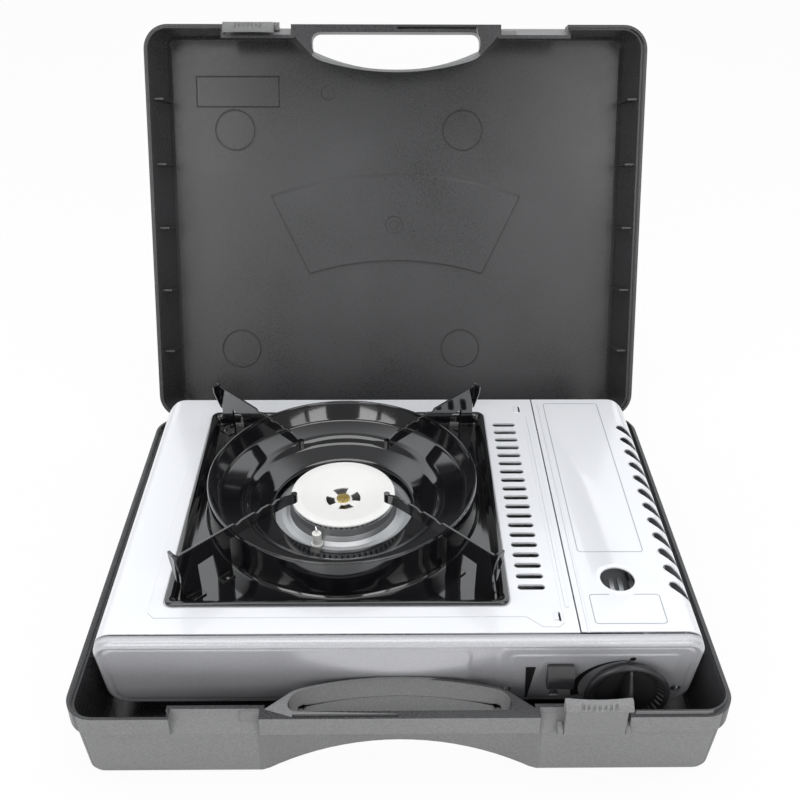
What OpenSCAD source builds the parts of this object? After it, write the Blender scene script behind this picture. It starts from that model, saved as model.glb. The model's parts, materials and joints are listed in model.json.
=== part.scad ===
// Butane cassette stove standing in its open carry case.
// Origin: centre of the case base's underside. +Z up, +X to the right, the front faces -Y.

/* [Carry case] */
// Room beside the stove, out to the rim band's face
side_room = 15.5; // [15:0.1:22]
// Room in front of the stove's top edge
front_room = 23.1; // [22.8:0.1:28]
// Room behind the stove
rear_room = 27; // [25:0.5:32]
// Height of each half, from its outside face to the parting plane
half_h = 46; // [44:0.5:50]
// Thickness of the moulded walls
case_wall = 2.4; // [1.8:0.1:2.6]
// Thickness of the flat floor of each half
case_floor = 3; // [2:0.1:4]
// Corner radius of the rim, seen from above
case_r = 18; // [14:1:26]
// Inward draft of each side wall over its height
side_draft = 7; // [3:0.5:9]
// Height of the rim band
band_h = 13; // [12:0.5:15]
// How far the rim band stands proud of the walls
band_proud = 1; // [0.6:0.1:1.4]
// How far the lid leans back past upright
lid_lean = 21.6; // [5:0.1:30]

/* [Case handle and latches] */
// Width of the hand hole
grip_w = 125; // [110:1:135]
// Depth of the lid's hand hole
lid_grip = 32; // [26:0.5:33]
// Radius of the hand hole's curved back edge
grip_r = 200; // [160:5:260]
// Thickness of the handle bar
bar_t = 5.4; // [5:0.1:7]
// Distance of each latch from the middle
latch_x = 107.5; // [104:0.5:112]
// Width of each latch
latch_w = 34; // [28:1:36]
// Height of the latch above the parting plane
latch_up = 17; // [14:0.5:18]
// Depth of the recess behind each latch
latch_recess = 8; // [6:0.5:9]
// Radius of the hinge and latch pins
pin_r = 1.5; // [1.2:0.1:1.8]

/* [Stove body] */
// Overall width of the body
stove_w = 343; // [336:1:345]
// Depth of the top plate
stove_d = 246.9; // [244:0.1:252]
// Height of the top plate above the case's underside
top_z = 80; // [79.5:0.5:84]
// Height of the body shell's lower edge
skirt_z = 16; // [15:0.5:18]
// Thickness of the pressed sheet
sheet = 1; // [0.8:0.1:1.1]
// Lean of the front panel
rake = 12.3; // [10:0.1:12.6]
// Radius of the upper side edges
shoulder_r = 11; // [8:0.5:13]
// Radius of the lower side edges
skirt_r = 14; // [10:0.5:15]
// Radius of the rear corners, seen from above
rear_r = 14; // [10:1:18]
// Height of the rubber feet
foot_h = 6.2; // [5:0.1:7]

/* [Top plate and cover] */
// Width of the cartridge cover
cover_w = 70.3; // [68:0.1:72]
// Width of that seam
seam_gap = 0.8; // [0.6:0.1:1.2]
// Number of vent slots beside the tray
slot_count = 19; // [15:1:20]
// Length of each vent slot
slot_len = 16.2; // [12:0.2:17]
// Width of each vent slot
slot_w = 4.4; // [3:0.1:5]
// Number of leaf vents on the cover's shoulder
leaf_count = 12; // [8:1:12]
// Radius of the cover's round window
window_r = 10.2; // [8:0.2:11]
// Room that lets the swinging cover clear the front panel's edge
cover_front_gap = 0.9; // [0.8:0.1:1.4]
// Height of the cover's hinge
cover_hinge_z = 56; // [55:0.5:58]

/* [Tray and pan supports] */
// Middle of the burner from the body's left side
burner_in = 135.7; // [133:0.1:138]
// Middle of the burner behind the top plate's front edge
burner_back = 127.7; // [125:0.1:130]
// Side of the square tray
tray_s = 199; // [190:1:200]
// Radius of the round wind shield
ring_r = 86.5; // [80:0.5:88]
// Height of the wind shield above the top plate
ring_up = 21; // [16:0.5:22]
// Radius of the tray's middle opening
tray_hole_r = 46; // [45.6:0.2:48]
// Height of the pan supports above the top plate
support_up = 30.3; // [26:0.1:31]
// Thickness of the supports
support_t = 1.6; // [1.2:0.1:2]

/* [Burner] */
// Radius of the burner cap
cap_r = 33.8; // [30:0.2:35]
// Height of the cap's rim above the top plate
cap_up = 4.8; // [4:0.1:6]
// Turn of the cap's four openings
cap_turn = 12; // [0:1:40]
// Number of flame ports
port_count = 60; // [40:2:64]
// Radius of the spill flange around the burner
flange_r = 45; // [43:0.2:45.4]

/* [Gas and controls] */
// Axis of the cartridge from the body's right side
gas_in = 35.5; // [35:0.1:36.5]
// Height of that axis
gas_z = 44.5; // [44:0.1:44.8]
// Radius of a 227 g butane cartridge
cartridge_r = 33.5; // [33:0.1:34]
// Axis of the control knob from the body's right side
knob_in = 42; // [40.5:0.1:44]
// Height of that axis
knob_z = 39.5; // [38:0.5:41]
// Radius of the control knob
knob_r = 25.2; // [22:0.1:26]
// Travel of the cartridge lever
lever_travel = 13; // [10:0.5:14]
// Middle of the cartridge lever from the cover's seam
lever_in = 10.2; // [8:0.1:12]

/* [Hidden] */
$fn = 64;
e = 0.01;
fit = 0.05;
rest_gap = 0.3;

// Case half, in the base's own place
case_w = stove_w + 2 * side_room;
case_d = stove_d + front_room + rear_room;
edge_r = 2.6;
foot_r = case_r - 8;
wall_in = band_proud + case_wall;
hinge_y = case_d / 2;
front = -case_d / 2;
bar_z = half_h - band_h;
knuckle_r = 4;
knuckle_w = 8;
knuckle_gap = 0.4;
tongue_h = 2.4;
tongue_t = 1.1;
collar_drop = 1.5;
grip_wall = 2.2;
arch_r = 155;
arch_drop = 5.3;
gusset_x = grip_w / 2 + 18.5;
recess_w = 49.5;
recess_x = latch_x - 5;
latch_t = 2.2;
latch_y = case_d / 2 + 0.3;
latch_z = bar_z + 3.5;
barrel_r = 2.6;
ear_w = 3;
// The lid's latch hangs into its recess by its own weight
latch_fall = 20;

// Stove
front_y = case_d / 2 - front_room;
rear_y = case_d / 2 - rear_room;
body_z0 = case_floor + foot_h;
pan_z = body_z0 + sheet;
rake_k = tan(rake);
face_h = (top_z - skirt_z) / cos(rake);
nose = 7;
panel_gap = 0.4;
press = 0.5;
bead = 4;
half_w = stove_w / 2;
base_grip = case_d / 2 + face_y(half_h) - grip_wall - rest_gap;
seam_x = half_w - cover_w;
burner_x = burner_in - half_w;
burner_y = burner_back - front_y;
gas_x = half_w - gas_in;
knob_x = half_w - knob_in;
lever_x = seam_x - lever_in;
foot_in = 18;
tab_in = [19.4, 13.5];
pan_w = stove_w - 23;
pan_y0 = front_y - 21.4;
pan_y1 = rear_y - 9.5;
pan_r = 12;
partition_x = seam_x - 7;
tray_z = top_z - 3.5;
tray_rim_z = top_z + 2.2;
tray_t = 1.2;
tray_well = tray_s - 9;
ring_z = top_z + ring_up;
dish_z = top_z - 1.5;
support_z = top_z + support_up;
cap_z = top_z + cap_up;
lip_z = cap_z - 4.6;
hub_r = 31.6;
regulator_y = 22.4 - front_y;
guide_y = regulator_y + 11;
lock_y = regulator_y + 25;
window_at = [half_w - 41.9, regulator_y + 28.1];
pad_up = 0.5;
pad_mid = 48.5;
groove = 0.8;
knob_back = face_y(knob_z + knob_r) - pad_up - 0.5;
knob_front = front + latch_recess + case_wall + 1.5;
lever_z = knob_z + 13;
link_y = face_y(lever_z) + 12;
pipe_x = partition_x - 8;
pipe_y = regulator_y + 5;
pipe_z = knob_z - 4;
pipe_r = 3;
piezo_x = knob_x - 16;
piezo_z = knob_z + 27;
screw_xs = [half_w - 109.1, half_w - 9.7];
screw_z = 32;
ceramic_r = 3.9;
cover_ear_t = 2;
cover_axis_x = half_w - 3;
cover_ears_y = [9 + nose - front_y, rear_y - rear_r - 6];

// A point on the raked front face at height z
function face_y(z) = -front_y + rake_k * (top_z - z);
function arc(r, a0, a1, n, c = [0, 0]) =
    [for (i = [0:n]) c + r * [cos(a0 + (a1 - a0) * i / n), sin(a0 + (a1 - a0) * i / n)]];

module rounded(w, d, r) {
    square([w - 2 * r, d], center = true);
    square([w, d - 2 * r], center = true);
    for (x = [-1, 1], y = [-1, 1]) translate([x * (w / 2 - r), y * (d / 2 - r)]) circle(r);
}

module lid_place() {
    translate([0, hinge_y, half_h]) rotate([-90 - lid_lean, 0, 0])
        translate([0, -hinge_y, half_h]) rotate([0, 180, 0]) children();
}

// ---- carry case ----

// Slice of the half's outline at height z, drawn in by the given amounts
module case_slice(z, in_x, in_y, r) {
    translate([0, 0, z]) linear_extrude(e) rounded(case_w - 2 * in_x, case_d - 2 * in_y, r, $fn = 32);
}

module case_outside() {
    i = band_proud;
    hull() {
        case_slice(0, i + side_draft + edge_r, i + edge_r, foot_r - edge_r + 1);
        case_slice(edge_r * 0.35, i + side_draft + edge_r * 0.25, i + edge_r * 0.25, foot_r);
        case_slice(edge_r, i + side_draft, i, foot_r);
        case_slice(half_h - e, i, i, case_r - i);
    }
}

module case_inside() {
    i = wall_in;
    hull() {
        case_slice(case_floor, i + side_draft + 1.5, i + 1.5, foot_r - 3);
        case_slice(case_floor + 2.5, i + side_draft - 0.5, i, foot_r - 2);
        case_slice(half_h + 2, i, i, case_r - i);
    }
}

// Outline of the hand hole: a long arc at the back, rounded ends, a straight front
function grip_outline(depth, g) =
    let (back_r = 10, cx = grip_w / 2 - back_r, cy = front + depth - grip_r,
         a = acos(cx / (grip_r - back_r)), by = cy + (grip_r - back_r) * sin(a),
         front_r = min(6, by - front - bar_t - 0.5),
         fx = grip_w / 2 - front_r, fy = front + bar_t + front_r)
    concat(arc(grip_r + g, a, 180 - a, 20, [0, cy]), arc(back_r + g, 180 - a, 180, 5, [-cx, by]),
           arc(front_r + g, 180, 270, 5, [-fx, fy]), arc(front_r + g, 270, 360, 5, [fx, fy]),
           arc(back_r + g, 0, a, 5, [cx, by]));

module grip_hollow(depth, g, top) {
    hull() {
        translate([0, 0, -1]) linear_extrude(1) intersection() {
            translate([0, front + depth - arch_drop - arch_r]) circle(arch_r + g, $fn = 120);
            translate([0, front - 20 + depth]) square([2 * gusset_x + 3 * g, 2 * depth + 44], center = true);
        }
        translate([0, 0, top]) linear_extrude(e)
            polygon(concat(grip_outline(depth, g), [[-gusset_x - g, front], [-gusset_x, front - 8],
                                                    [gusset_x, front - 8], [gusset_x + g, front]]));
    }
}

// Wedge set back into the front wall behind a latch
module recess(x, g) {
    translate([x, 0, 0]) rotate([90, 0, 90]) linear_extrude(recess_w + 2 * g, center = true)
        polygon([[front - 6, bar_z - 0.4 - g], [front + band_proud - 0.2, bar_z - 0.4 - g],
                 [front + latch_recess * 0.8 + g, half_h - 4 - g], [front + latch_recess + g, half_h + 3],
                 [front - 6, half_h + 3]]);
}

module latch_pocket(g) {
    translate([latch_x - latch_w / 2 - 0.5 - g, front - 6, latch_z - barrel_r - 0.6 - g])
        cube([latch_w + 1 + 2 * g, 6 + barrel_r + 0.5 + g, 2 * barrel_r + 4 + 2 * g]);
}

module knuckles(xs, r, w) {
    for (x = xs) translate([x, hinge_y, half_h]) rotate([0, 90, 0]) cylinder(r = r, h = w, center = true);
}

module case_half(depth) {
    pitch = knuckle_w + knuckle_gap;
    own = [latch_x - pitch, latch_x + pitch, -latch_x];
    other = [-latch_x - pitch, -latch_x + pitch, latch_x];
    difference() {
        union() {
            difference() {
                union() {
                    case_outside();
                    translate([0, 0, bar_z]) linear_extrude(band_h) rounded(case_w, case_d, case_r);
                }
                difference() {
                    case_inside();
                    grip_hollow(depth, grip_wall, half_h + 3);
                    for (x = [-recess_x, recess_x]) recess(x, case_wall);
                    latch_pocket(case_wall);
                }
            }
            knuckles(own, knuckle_r, knuckle_w);
            rim_tongue();
            side_ribs();
            fan_panel();
            // Long boss on the hinge-side wall
            translate([108.5, hinge_y - wall_in, half_h - 19]) cube([57, 2.6, 15], center = true);
        }
        knuckles(other, knuckle_r + knuckle_gap, knuckle_w + 2 * knuckle_gap);
        knuckles([-latch_x, latch_x], pin_r + fit, 40);
        grip_hollow(depth, 0, bar_z);
        translate([0, 0, bar_z - 1]) linear_extrude(band_h + 5) polygon(grip_outline(depth, 0));
        collar_step(depth);
        rim_rabbet();
        for (x = [-recess_x, recess_x]) recess(x, 0);
        latch_pocket(0);
        translate([latch_x, -latch_y, latch_z]) rotate([0, 90, 0])
            cylinder(r = pin_r + fit, h = latch_w + 2 * knuckle_gap + 2 * ear_w + 0.2, center = true);
        floor_marks();
    }
    latch_ears();
    guide_block();
}

// The bar and the corners beside the hand hole lie a little below the hole's own edge
module collar_step(depth) {
    translate([0, 0, half_h - collar_drop]) linear_extrude(10) difference() {
        polygon(concat(grip_outline(depth, grip_wall + 0.5), [[-gusset_x + 2, front - 1], [gusset_x - 2, front - 1]]));
        polygon(grip_outline(depth, 1.6));
        translate([3, front + 1.4]) square([gusset_x, 1.2]);
    }
    translate([-grip_w / 2 + 3, front + 1.4, half_h - 9]) cube([grip_w / 2 - 4, 2, 12]);
}

module rim_ring(a, b) {
    difference() {
        rounded(case_w - 2 * a, case_d - 2 * a, case_r - a);
        rounded(case_w - 2 * b, case_d - 2 * b, case_r - b);
    }
}

// Zones of the rim, away from recess, handle and hinge: one side has the tongue, the other the rabbet
module rim_zone(end) {
    far = recess_x + recess_w / 2 + end;
    translate([far, -case_d, 0]) cube([case_w, 2 * case_d, 2 * half_h]);
    translate([2 + end, 0, 0]) cube([latch_x - 24 - 2 * end, case_d, 2 * half_h]);
}

module rim_tongue() {
    intersection() {
        translate([0, 0, half_h - 1]) linear_extrude(tongue_h + 1) rim_ring(wall_in - tongue_t, wall_in);
        rim_zone(3);
    }
}

module rim_rabbet() {
    intersection() {
        translate([0, 0, half_h - tongue_h - 0.4]) linear_extrude(tongue_h + 2)
            rim_ring(wall_in - tongue_t - 0.3, wall_in + 3);
        mirror([1, 0, 0]) rim_zone(1);
    }
}

module latch_ears() {
    for (s = [-1, 1]) translate([latch_x + s * (latch_w / 2 + knuckle_gap + ear_w / 2), -latch_y, latch_z])
        rotate([0, 90, 0]) difference() {
            union() {
                cylinder(r = barrel_r, h = ear_w, center = true);
                translate([-barrel_r, 0, -ear_w / 2]) cube([2 * barrel_r, band_proud + 2.6, ear_w]);
            }
            cylinder(r = pin_r + fit, h = ear_w + 1, center = true);
        }
}

// Small block in the corner of the plain recess, which steadies the other half's latch
module guide_block() {
    translate([-recess_x + recess_w / 2 - 11, front + 4.4, half_h - 7]) cube([11 + e, 5, 5.6]);
}

module side_ribs() {
    for (s = [-1, 1], i = [0:4]) translate([s * (case_w / 2 - 7.4), -96 + i * 48, half_h / 2 + 1])
        cube([9, 1.6, half_h - 14], center = true);
}

// Raised fan-shaped panel on the floor, its outer arc chamfered
module fan_panel() {
    up = 1.6;
    at = [0, case_d / 2 + 117.5];
    intersection() {
        translate([0, 0, case_floor - e]) linear_extrude(up + e)
            polygon(concat(arc(310, 251, 289, 24, at), arc(239, 287, 253, 12, at)));
        translate([at[0], at[1], case_floor - e]) cylinder(r1 = 308, r2 = 305.4, h = up + e, $fn = 240);
    }
}

// Moulding marks: four ring lines, a frame with a dot at its end, and the gate mark in the fan
module floor_marks() {
    depth = 0.5;
    translate([0, 0, case_floor - depth]) linear_extrude(depth + 1) {
        for (x = [127, -53], y = [-75.5, 100]) translate([x, y]) difference() {
            circle(16);
            circle(15);
        }
        translate([124.2, -104.8]) difference() {
            square([65.4, 23.6], center = true);
            square([64.2, 22.4], center = true);
        }
        translate([53.4, -103.9]) circle(5.4);
    }
    translate([1.5, -1.3, case_floor + 1.1]) linear_extrude(2) difference() {
        circle(7);
        circle(3.4);
    }
}

module latch() {
    tip_z = half_h + latch_up;
    face = -latch_y - barrel_r;
    back = face + latch_t;
    lip_more = 3;
    dip_r = 100;
    difference() {
        union() {
            translate([latch_x, -latch_y, latch_z]) rotate([0, 90, 0])
                cylinder(r = barrel_r, h = latch_w, center = true);
            // Plate, then the thumb edge leaning outwards at its top and the hook behind
            translate([latch_x, 0, 0]) rotate([90, 0, 90]) linear_extrude(latch_w, center = true)
                polygon([[face, latch_z], [back, latch_z], [back, tip_z], [face, tip_z]]);
            translate([latch_x, 0, 0]) rotate([90, 0, 90]) linear_extrude(latch_w + lip_more, center = true)
                polygon([[back, tip_z - 8], [back, tip_z], [face - 0.2, tip_z], [face - 4, tip_z - 2.6],
                         [face - 4.6, tip_z - 4.2], [face, tip_z - 8]]);
            translate([latch_x, 0, 0]) rotate([90, 0, 90]) linear_extrude(latch_w - 8, center = true)
                polygon([[back - e, half_h + 3.2], [back + 1.2, half_h + 4.6], [back - e, half_h + 6]]);
        }
        translate([latch_x, -latch_y, latch_z]) rotate([0, 90, 0])
            cylinder(r = pin_r + fit, h = latch_w + 2, center = true);
        // Dipped top edge and the grip grooves of the lip
        translate([latch_x, face - 8, tip_z + dip_r - 1.4]) rotate([-90, 0, 0]) cylinder(r = dip_r, h = 16, $fn = 180);
        for (i = [-3:3]) translate([latch_x + i * 3, face - 2.4, tip_z - 1.6])
            rotate([33, 0, 0]) cube([1, 6, 1.2], center = true);
    }
}

module latch_swung(angle) {
    translate([0, -latch_y, latch_z]) rotate([-angle, 0, 0]) translate([0, latch_y, -latch_z]) children();
}

module latch_pin() {
    translate([latch_x, -latch_y, latch_z]) rotate([0, 90, 0])
        cylinder(r = pin_r, h = latch_w + 2 * knuckle_gap + 2 * ear_w, center = true);
}

module case_base() { color("dimgray") case_half(base_grip); }
module case_lid() { color("dimgray") lid_place() case_half(lid_grip); }
module base_latch() { color("gray") latch(); }
module lid_latch() { color("gray") lid_place() latch_swung(latch_fall) latch(); }
module base_latch_pin() { color("silver") latch_pin(); }
module lid_latch_pin() { color("silver") lid_place() latch_pin(); }
module hinge_pins() { color("silver") knuckles([-latch_x, latch_x], pin_r, 3 * knuckle_w + 2 * knuckle_gap); }

// ---- stove body ----

// Front view of the body, drawn at a given inset
module body_front(i) {
    w = stove_w - 2 * i;
    z0 = skirt_z + i;
    z1 = top_z - i;
    rs = shoulder_r - i;
    rk = skirt_r - i;
    translate([-w / 2, z0 + rk]) square([w, z1 - z0 - rs - rk]);
    translate([-w / 2 + rs, z1 - 2 * rs]) square([w - 2 * rs, 2 * rs]);
    translate([-w / 2 + rk, z0]) square([w - 2 * rk, 2 * rk]);
    for (s = [-1, 1]) {
        translate([s * (w / 2 - rs), z1 - rs]) circle(rs);
        translate([s * (w / 2 - rk), z0 + rk]) circle(rk);
    }
}

module body_plan(i) {
    w = stove_w - 2 * i;
    r = rear_r - i;
    translate([-w / 2, -front_y - 20]) square([w, front_y + 20 + rear_y - i - r]);
    translate([-w / 2 + r, 0]) square([w - 2 * r, rear_y - i]);
    for (s = [-1, 1]) translate([s * (w / 2 - r), rear_y - i - r]) circle(r);
}

// Outer form of the pressed body at an inset, from a depth behind the raked face
module body_form(i, behind) {
    intersection() {
        translate([0, 200, 0]) rotate([90, 0, 0]) linear_extrude(400) body_front(i);
        linear_extrude(2 * top_z) body_plan(i);
        translate([0, -front_y, top_z]) rotate([rake, 0, 0])
            translate([-stove_w, behind, -3 * top_z]) cube([2 * stove_w, 3 * stove_w, 6 * top_z]);
    }
}

module cover_zone(grow) {
    translate([seam_x + seam_gap / 2 - grow, -front_y, cover_hinge_z - 3.5 - grow])
        cube([stove_w, 2 * stove_w, top_z]);
}

module slot_row() {
    pitch = 168.8 / 18;
    x0 = burner_x + tray_s / 2 + 5.7;
    for (i = [0:slot_count - 1]) translate([x0 + slot_len / 2, 86.8 - i * pitch, top_z])
        linear_extrude(10, center = true) {
            square([slot_len - slot_w, slot_w], center = true);
            for (s = [-1, 1]) translate([s * (slot_len - slot_w) / 2, 0]) circle(slot_w / 2, $fn = 24);
        }
}

// Raised field of the top plate round the tray and the vent slots
module top_field() {
    x0 = burner_x - tray_s / 2 - 8;
    x1 = burner_x + tray_s / 2 + 8;
    x2 = seam_x - 8.5;
    y0 = burner_y - tray_s / 2 - 8.5;
    y1 = rear_y - 5;
    translate([0, 0, top_z - e]) linear_extrude(press + e)
        polygon([[x0 + 4, y0], [x1, y0], [x1 + 9, y0 - 8], [x2 - 3, y0 - 8], [x2, y0 - 5], [x2, y1 - 34],
                 [x2 - 3, y1 - 25], [x2 - 11, y1 - 16], [x2 - 23, y1], [x0 + 4, y1], [x0, y1 - 4], [x0, y0 + 4]]);
}

module rib_top(x, y0, y1, w) {
    translate([x, 0, top_z - e]) linear_extrude(press + e) {
        translate([-w / 2, y0]) square([w, y1 - y0]);
        for (y = [y0, y1]) translate([0, y]) circle(w / 2, $fn = 24);
    }
}

module at_tabs() {
    for (y = [tab_in[0] - front_y, rear_y - tab_in[1]]) translate([seam_x - 12.6, y, top_z]) children();
}

module body_shell() {
    color("lightgray") difference() {
        union() {
            difference() {
                body_form(0, nose + panel_gap);
                body_form(sheet, nose);
            }
            top_field();
            rib_top(seam_x - 5, 3.2 - front_y + 25, rear_y - 24, 2.4);
        }
        cover_zone(seam_gap);
        translate([0, 0, skirt_z - 1]) linear_extrude(3) square([2 * stove_w, 2 * stove_w], center = true);
        translate([burner_x, burner_y, top_z]) cube([tray_well, tray_well, 8], center = true);
        // Seat for the tray's rolled rim
        translate([burner_x, burner_y, top_z]) linear_extrude(3) rounded(tray_s + 1, tray_s + 1, 5);
        slot_row();
        at_tabs() translate([2.2, 0, 0]) cube([1.2, 7, 6], center = true);
        // Air slots low in the rear wall
        for (i = [0:9]) translate([burner_x - 63 + i * 14, rear_y, 46]) cube([3, 8, 18], center = true);
    }
    color("lightgray") at_tabs() translate([0, 0, press]) rotate([0, -14, 0]) cube([3, 6, 1], center = true);
}

// Raked nose of the front panel at an inset, set back by a depth
module nose_form(i, back) {
    translate([0, -front_y, top_z]) rotate([rake, 0, 0]) translate([0, 0, -top_z / cos(rake)])
        rotate([90, 0, 0]) hull() {
            for (l = [[nose, 0], [bead * 0.55, 0], [bead * 0.18, bead * 0.3], [0, bead]])
                translate([0, 0, -l[0] - back]) linear_extrude(e) body_front(i + l[1] * 0.55, $fn = 40);
        }
}

module front_panel() {
    slot_h = lever_travel + 20;
    color("silver") difference() {
        union() {
            difference() {
                nose_form(0, 0);
                nose_form(sheet * 1.2, sheet * 1.4);
                translate([0, -front_y, top_z]) rotate([rake, 0, 0])
                    translate([0, nose, 0]) cube([2 * stove_w, 1, 4 * top_z], center = true);
            }
            on_face(-0.5) linear_extrude(0.5 + pad_up) inner_pad(0);
        }
        on_face(-groove) linear_extrude(2) difference() {
            body_front(bead - 0.6);
            left_pad();
            right_pad();
        }
        // Finger scoop in the top edge of the left pad
        on_face(-groove) intersection() {
            linear_extrude(2) left_pad();
            translate([burner_x + 31, top_z + 91.6]) cylinder(r1 = 105, r2 = 107, h = 2, $fn = 160);
        }
        translate([knob_x, -front_y, knob_z]) rotate([90, 0, 0]) cylinder(r = 10, h = 40, center = true);
        translate([lever_x, -front_y, lever_z + 5 - slot_h / 2]) cube([4.6, 40, slot_h], center = true);
        for (x = screw_xs) translate([x, -front_y, screw_z]) rotate([90, 0, 0]) cylinder(r = 1.7, h = 40, center = true);
    }
}

// The raked face as a drawing plane: height along the face, depth out of it
module on_face(out) {
    translate([0, -front_y, top_z]) rotate([90 + rake, 0, 0]) translate([0, -top_z / cos(rake), out]) children();
}

// Pressed pads of the face: one on the left, one round the controls with a higher one in it
module left_pad() { translate([(burner_x + 76.8 - half_w + 5.1) / 2, pad_mid]) rounded(burner_x + 76.8 + half_w - 5.1, 56, 9); }
module right_pad() { translate([half_w - 61, pad_mid]) rounded(112, 56, 8); }
module inner_pad(i) { translate([half_w - 61.3, pad_mid - 2.7]) rounded(95.5 - 2 * i, 47.6 - 2 * i, 4, $fn = 32); }

module bottom_pan() {
    color("silver") difference() {
        union() {
            difference() {
                translate([0, (pan_y1 - pan_y0) / 2, body_z0]) linear_extrude(skirt_z - body_z0)
                    rounded(pan_w, pan_y0 + pan_y1, pan_r);
                translate([0, (pan_y1 - pan_y0) / 2, pan_z]) linear_extrude(skirt_z)
                    rounded(pan_w - 2 * sheet, pan_y0 + pan_y1 - 2 * sheet, pan_r - sheet);
            }
            // Flange that closes the underside between the pan and the shell
            translate([0, 0, skirt_z - sheet]) linear_extrude(sheet) difference() {
                intersection() {
                    body_plan(skirt_r - 2);
                    translate([-stove_w, face_y(skirt_z) + nose]) square([2 * stove_w, 2 * stove_w]);
                }
                translate([0, (pan_y1 - pan_y0) / 2]) rounded(pan_w - 2 * sheet, pan_y0 + pan_y1 - 2 * sheet, pan_r - sheet);
            }
        }
        at_feet() cylinder(r = 2, h = 100, center = true);
        for (i = [0:6]) translate([burner_x - 42 + i * 14, burner_y - 60, pan_z]) cube([4, 40, 8], center = true);
    }
}

module at_feet() {
    for (s = [-1, 1], y = [foot_in - pan_y0, pan_y1 - foot_in])
        translate([s * (pan_w / 2 - foot_in - 4), y, 0]) children();
}

module rubber_feet() {
    color("#202020") at_feet() translate([0, 0, case_floor]) difference() {
        cylinder(r1 = 7.4, r2 = 8.4, h = foot_h);
        translate([0, 0, -e]) cylinder(r = 3.6, h = 2.4);
    }
}

module pan_screws() {
    color("silver") at_feet() {
        translate([0, 0, body_z0]) cylinder(r = 1.8, h = sheet + 2);
        translate([0, 0, pan_z]) cylinder(r = 3.6, h = 1.8);
    }
}

module partition_wall() {
    y0 = face_y(skirt_z) + 8;
    color("silver") difference() {
        union() {
            translate([partition_x, y0, skirt_z]) cube([sheet, rear_y - 10 - y0, top_z - sheet - skirt_z]);
            translate([partition_x, sheet - pan_y0, pan_z]) cube([sheet, pan_y0 + pan_y1 - 2 * sheet, skirt_z + e - pan_z]);
        }
        for (i = [0:8]) translate([partition_x, -40 + i * 16, 52]) rotate([0, 90, 0]) cylinder(r = 3.4, h = 10, center = true);
        translate([partition_x, pipe_y, pipe_z]) cube([10, 16, 16], center = true);
        translate([partition_x, -76.5, 58.5]) cube([10, 9, 9], center = true);
    }
}

module panel_screws() {
    color("silver") for (x = screw_xs) translate([x, face_y(screw_z), screw_z]) rotate([90 + rake, 0, 0]) {
        translate([0, 0, -6]) cylinder(r = 1.4, h = 7);
        translate([0, 0, pad_up + 0.1]) cylinder(r1 = 2.8, r2 = 1.6, h = 1.2);
    }
}

// ---- cover ----

module leaf(l, w) {
    polygon(concat(arc(w / 2, 90, 270, 8), [[l * 0.35, -w * 0.52], [l * 0.7, -w * 0.42], [l, -w * 0.1],
                                            [l * 0.7, w * 0.3], [l * 0.35, w * 0.5]]));
}

module leaf_row() {
    for (i = [0:leaf_count - 1]) translate([half_w - 9.3, 83.8 - i * 14.9, top_z - 8])
        rotate([0, 0, -46]) linear_extrude(12) leaf(12.5, 6.4);
}

module cover_shell() {
    difference() {
        body_form(0, nose + cover_front_gap);
        body_form(sheet, -1);
        translate([-stove_w, -stove_w, -e]) cube([stove_w + seam_x + seam_gap / 2, 2 * stove_w, 2 * top_z]);
        translate([-stove_w, -stove_w, -e]) cube([2 * stove_w, 2 * stove_w, cover_hinge_z - 2.6]);
        for (y = cover_ears_y) translate([cover_axis_x - 8, y + cover_ear_t, 0]) cube([20, 2.2, cover_hinge_z + 3]);
    }
}

module cover_ears(r, t) {
    for (y = cover_ears_y) translate([cover_axis_x, y, cover_hinge_z]) rotate([-90, 0, 0]) cylinder(r = r, h = t);
}

module cartridge_cover() {
    color("lightgray") difference() {
        union() {
            cover_shell();
            rib_top(seam_x + 4.6, 8 - front_y, rear_y - 8, 1.4);
            translate([window_at[0], window_at[1], top_z - e]) rotate_extrude()
                polygon([[window_r, 0], [window_r + 4.8, 0], [window_r + 3.8, press], [window_r + 2.2, press]]);
            intersection() {
                for (y = cover_ears_y) translate([cover_axis_x - 6, y, cover_hinge_z - 2.6])
                    cube([12, cover_ear_t, 14]);
                body_form(0, nose + cover_front_gap);
            }
        }
        translate([0, -e, 0]) cover_ears(pin_r + fit, cover_ear_t + 2 * e);
        leaf_row();
        translate([window_at[0], window_at[1], top_z]) cylinder(r = window_r, h = 10, center = true);
    }
}

module cover_hinge_pins() {
    color("silver") for (y = cover_ears_y) {
        translate([cover_axis_x, y - 1.5, cover_hinge_z]) rotate([-90, 0, 0]) cylinder(r = pin_r, h = cover_ear_t + 2);
        translate([cover_axis_x - 2.4, y + cover_ear_t + 0.4, cover_hinge_z - 14]) cube([4.2, 1.4, 16]);
    }
}

module cartridge_cradle() {
    color("silver") translate([gas_x, 0, 0]) difference() {
        for (y = [regulator_y + 63, regulator_y + 173]) translate([0, y, 0]) intersection() {
            translate([-28, 0, pan_z]) cube([56, 14, 9]);
            translate([0, 20, gas_z]) rotate([90, 0, 0]) difference() {
                cylinder(r = cartridge_r + 1.6, h = 60);
                translate([0, 0, -1]) cylinder(r = cartridge_r + rest_gap, h = 62);
            }
        }
    }
}

// Bracket under the window with the notch that takes the cartridge's collar
module cartridge_guide() {
    z = gas_z + 26;
    tongue_x = window_at[0] + 0.8;
    color("silver") difference() {
        union() {
            translate([tongue_x - 4, guide_y, z]) cube([8, 26, 1.4]);
            translate([tongue_x + 8, guide_y, z]) cube([3, 24, 1.4]);
            translate([gas_x - 12, guide_y, gas_z + 20.6]) cube([24, 1.4, z - gas_z - 20]);
        }
        translate([tongue_x, guide_y + 22, z]) cube([2.6, 10, 8], center = true);
        translate([tongue_x, guide_y + 17, z]) cylinder(r = 1.3, h = 8, center = true);
    }
}

// ---- gas train ----

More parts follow.
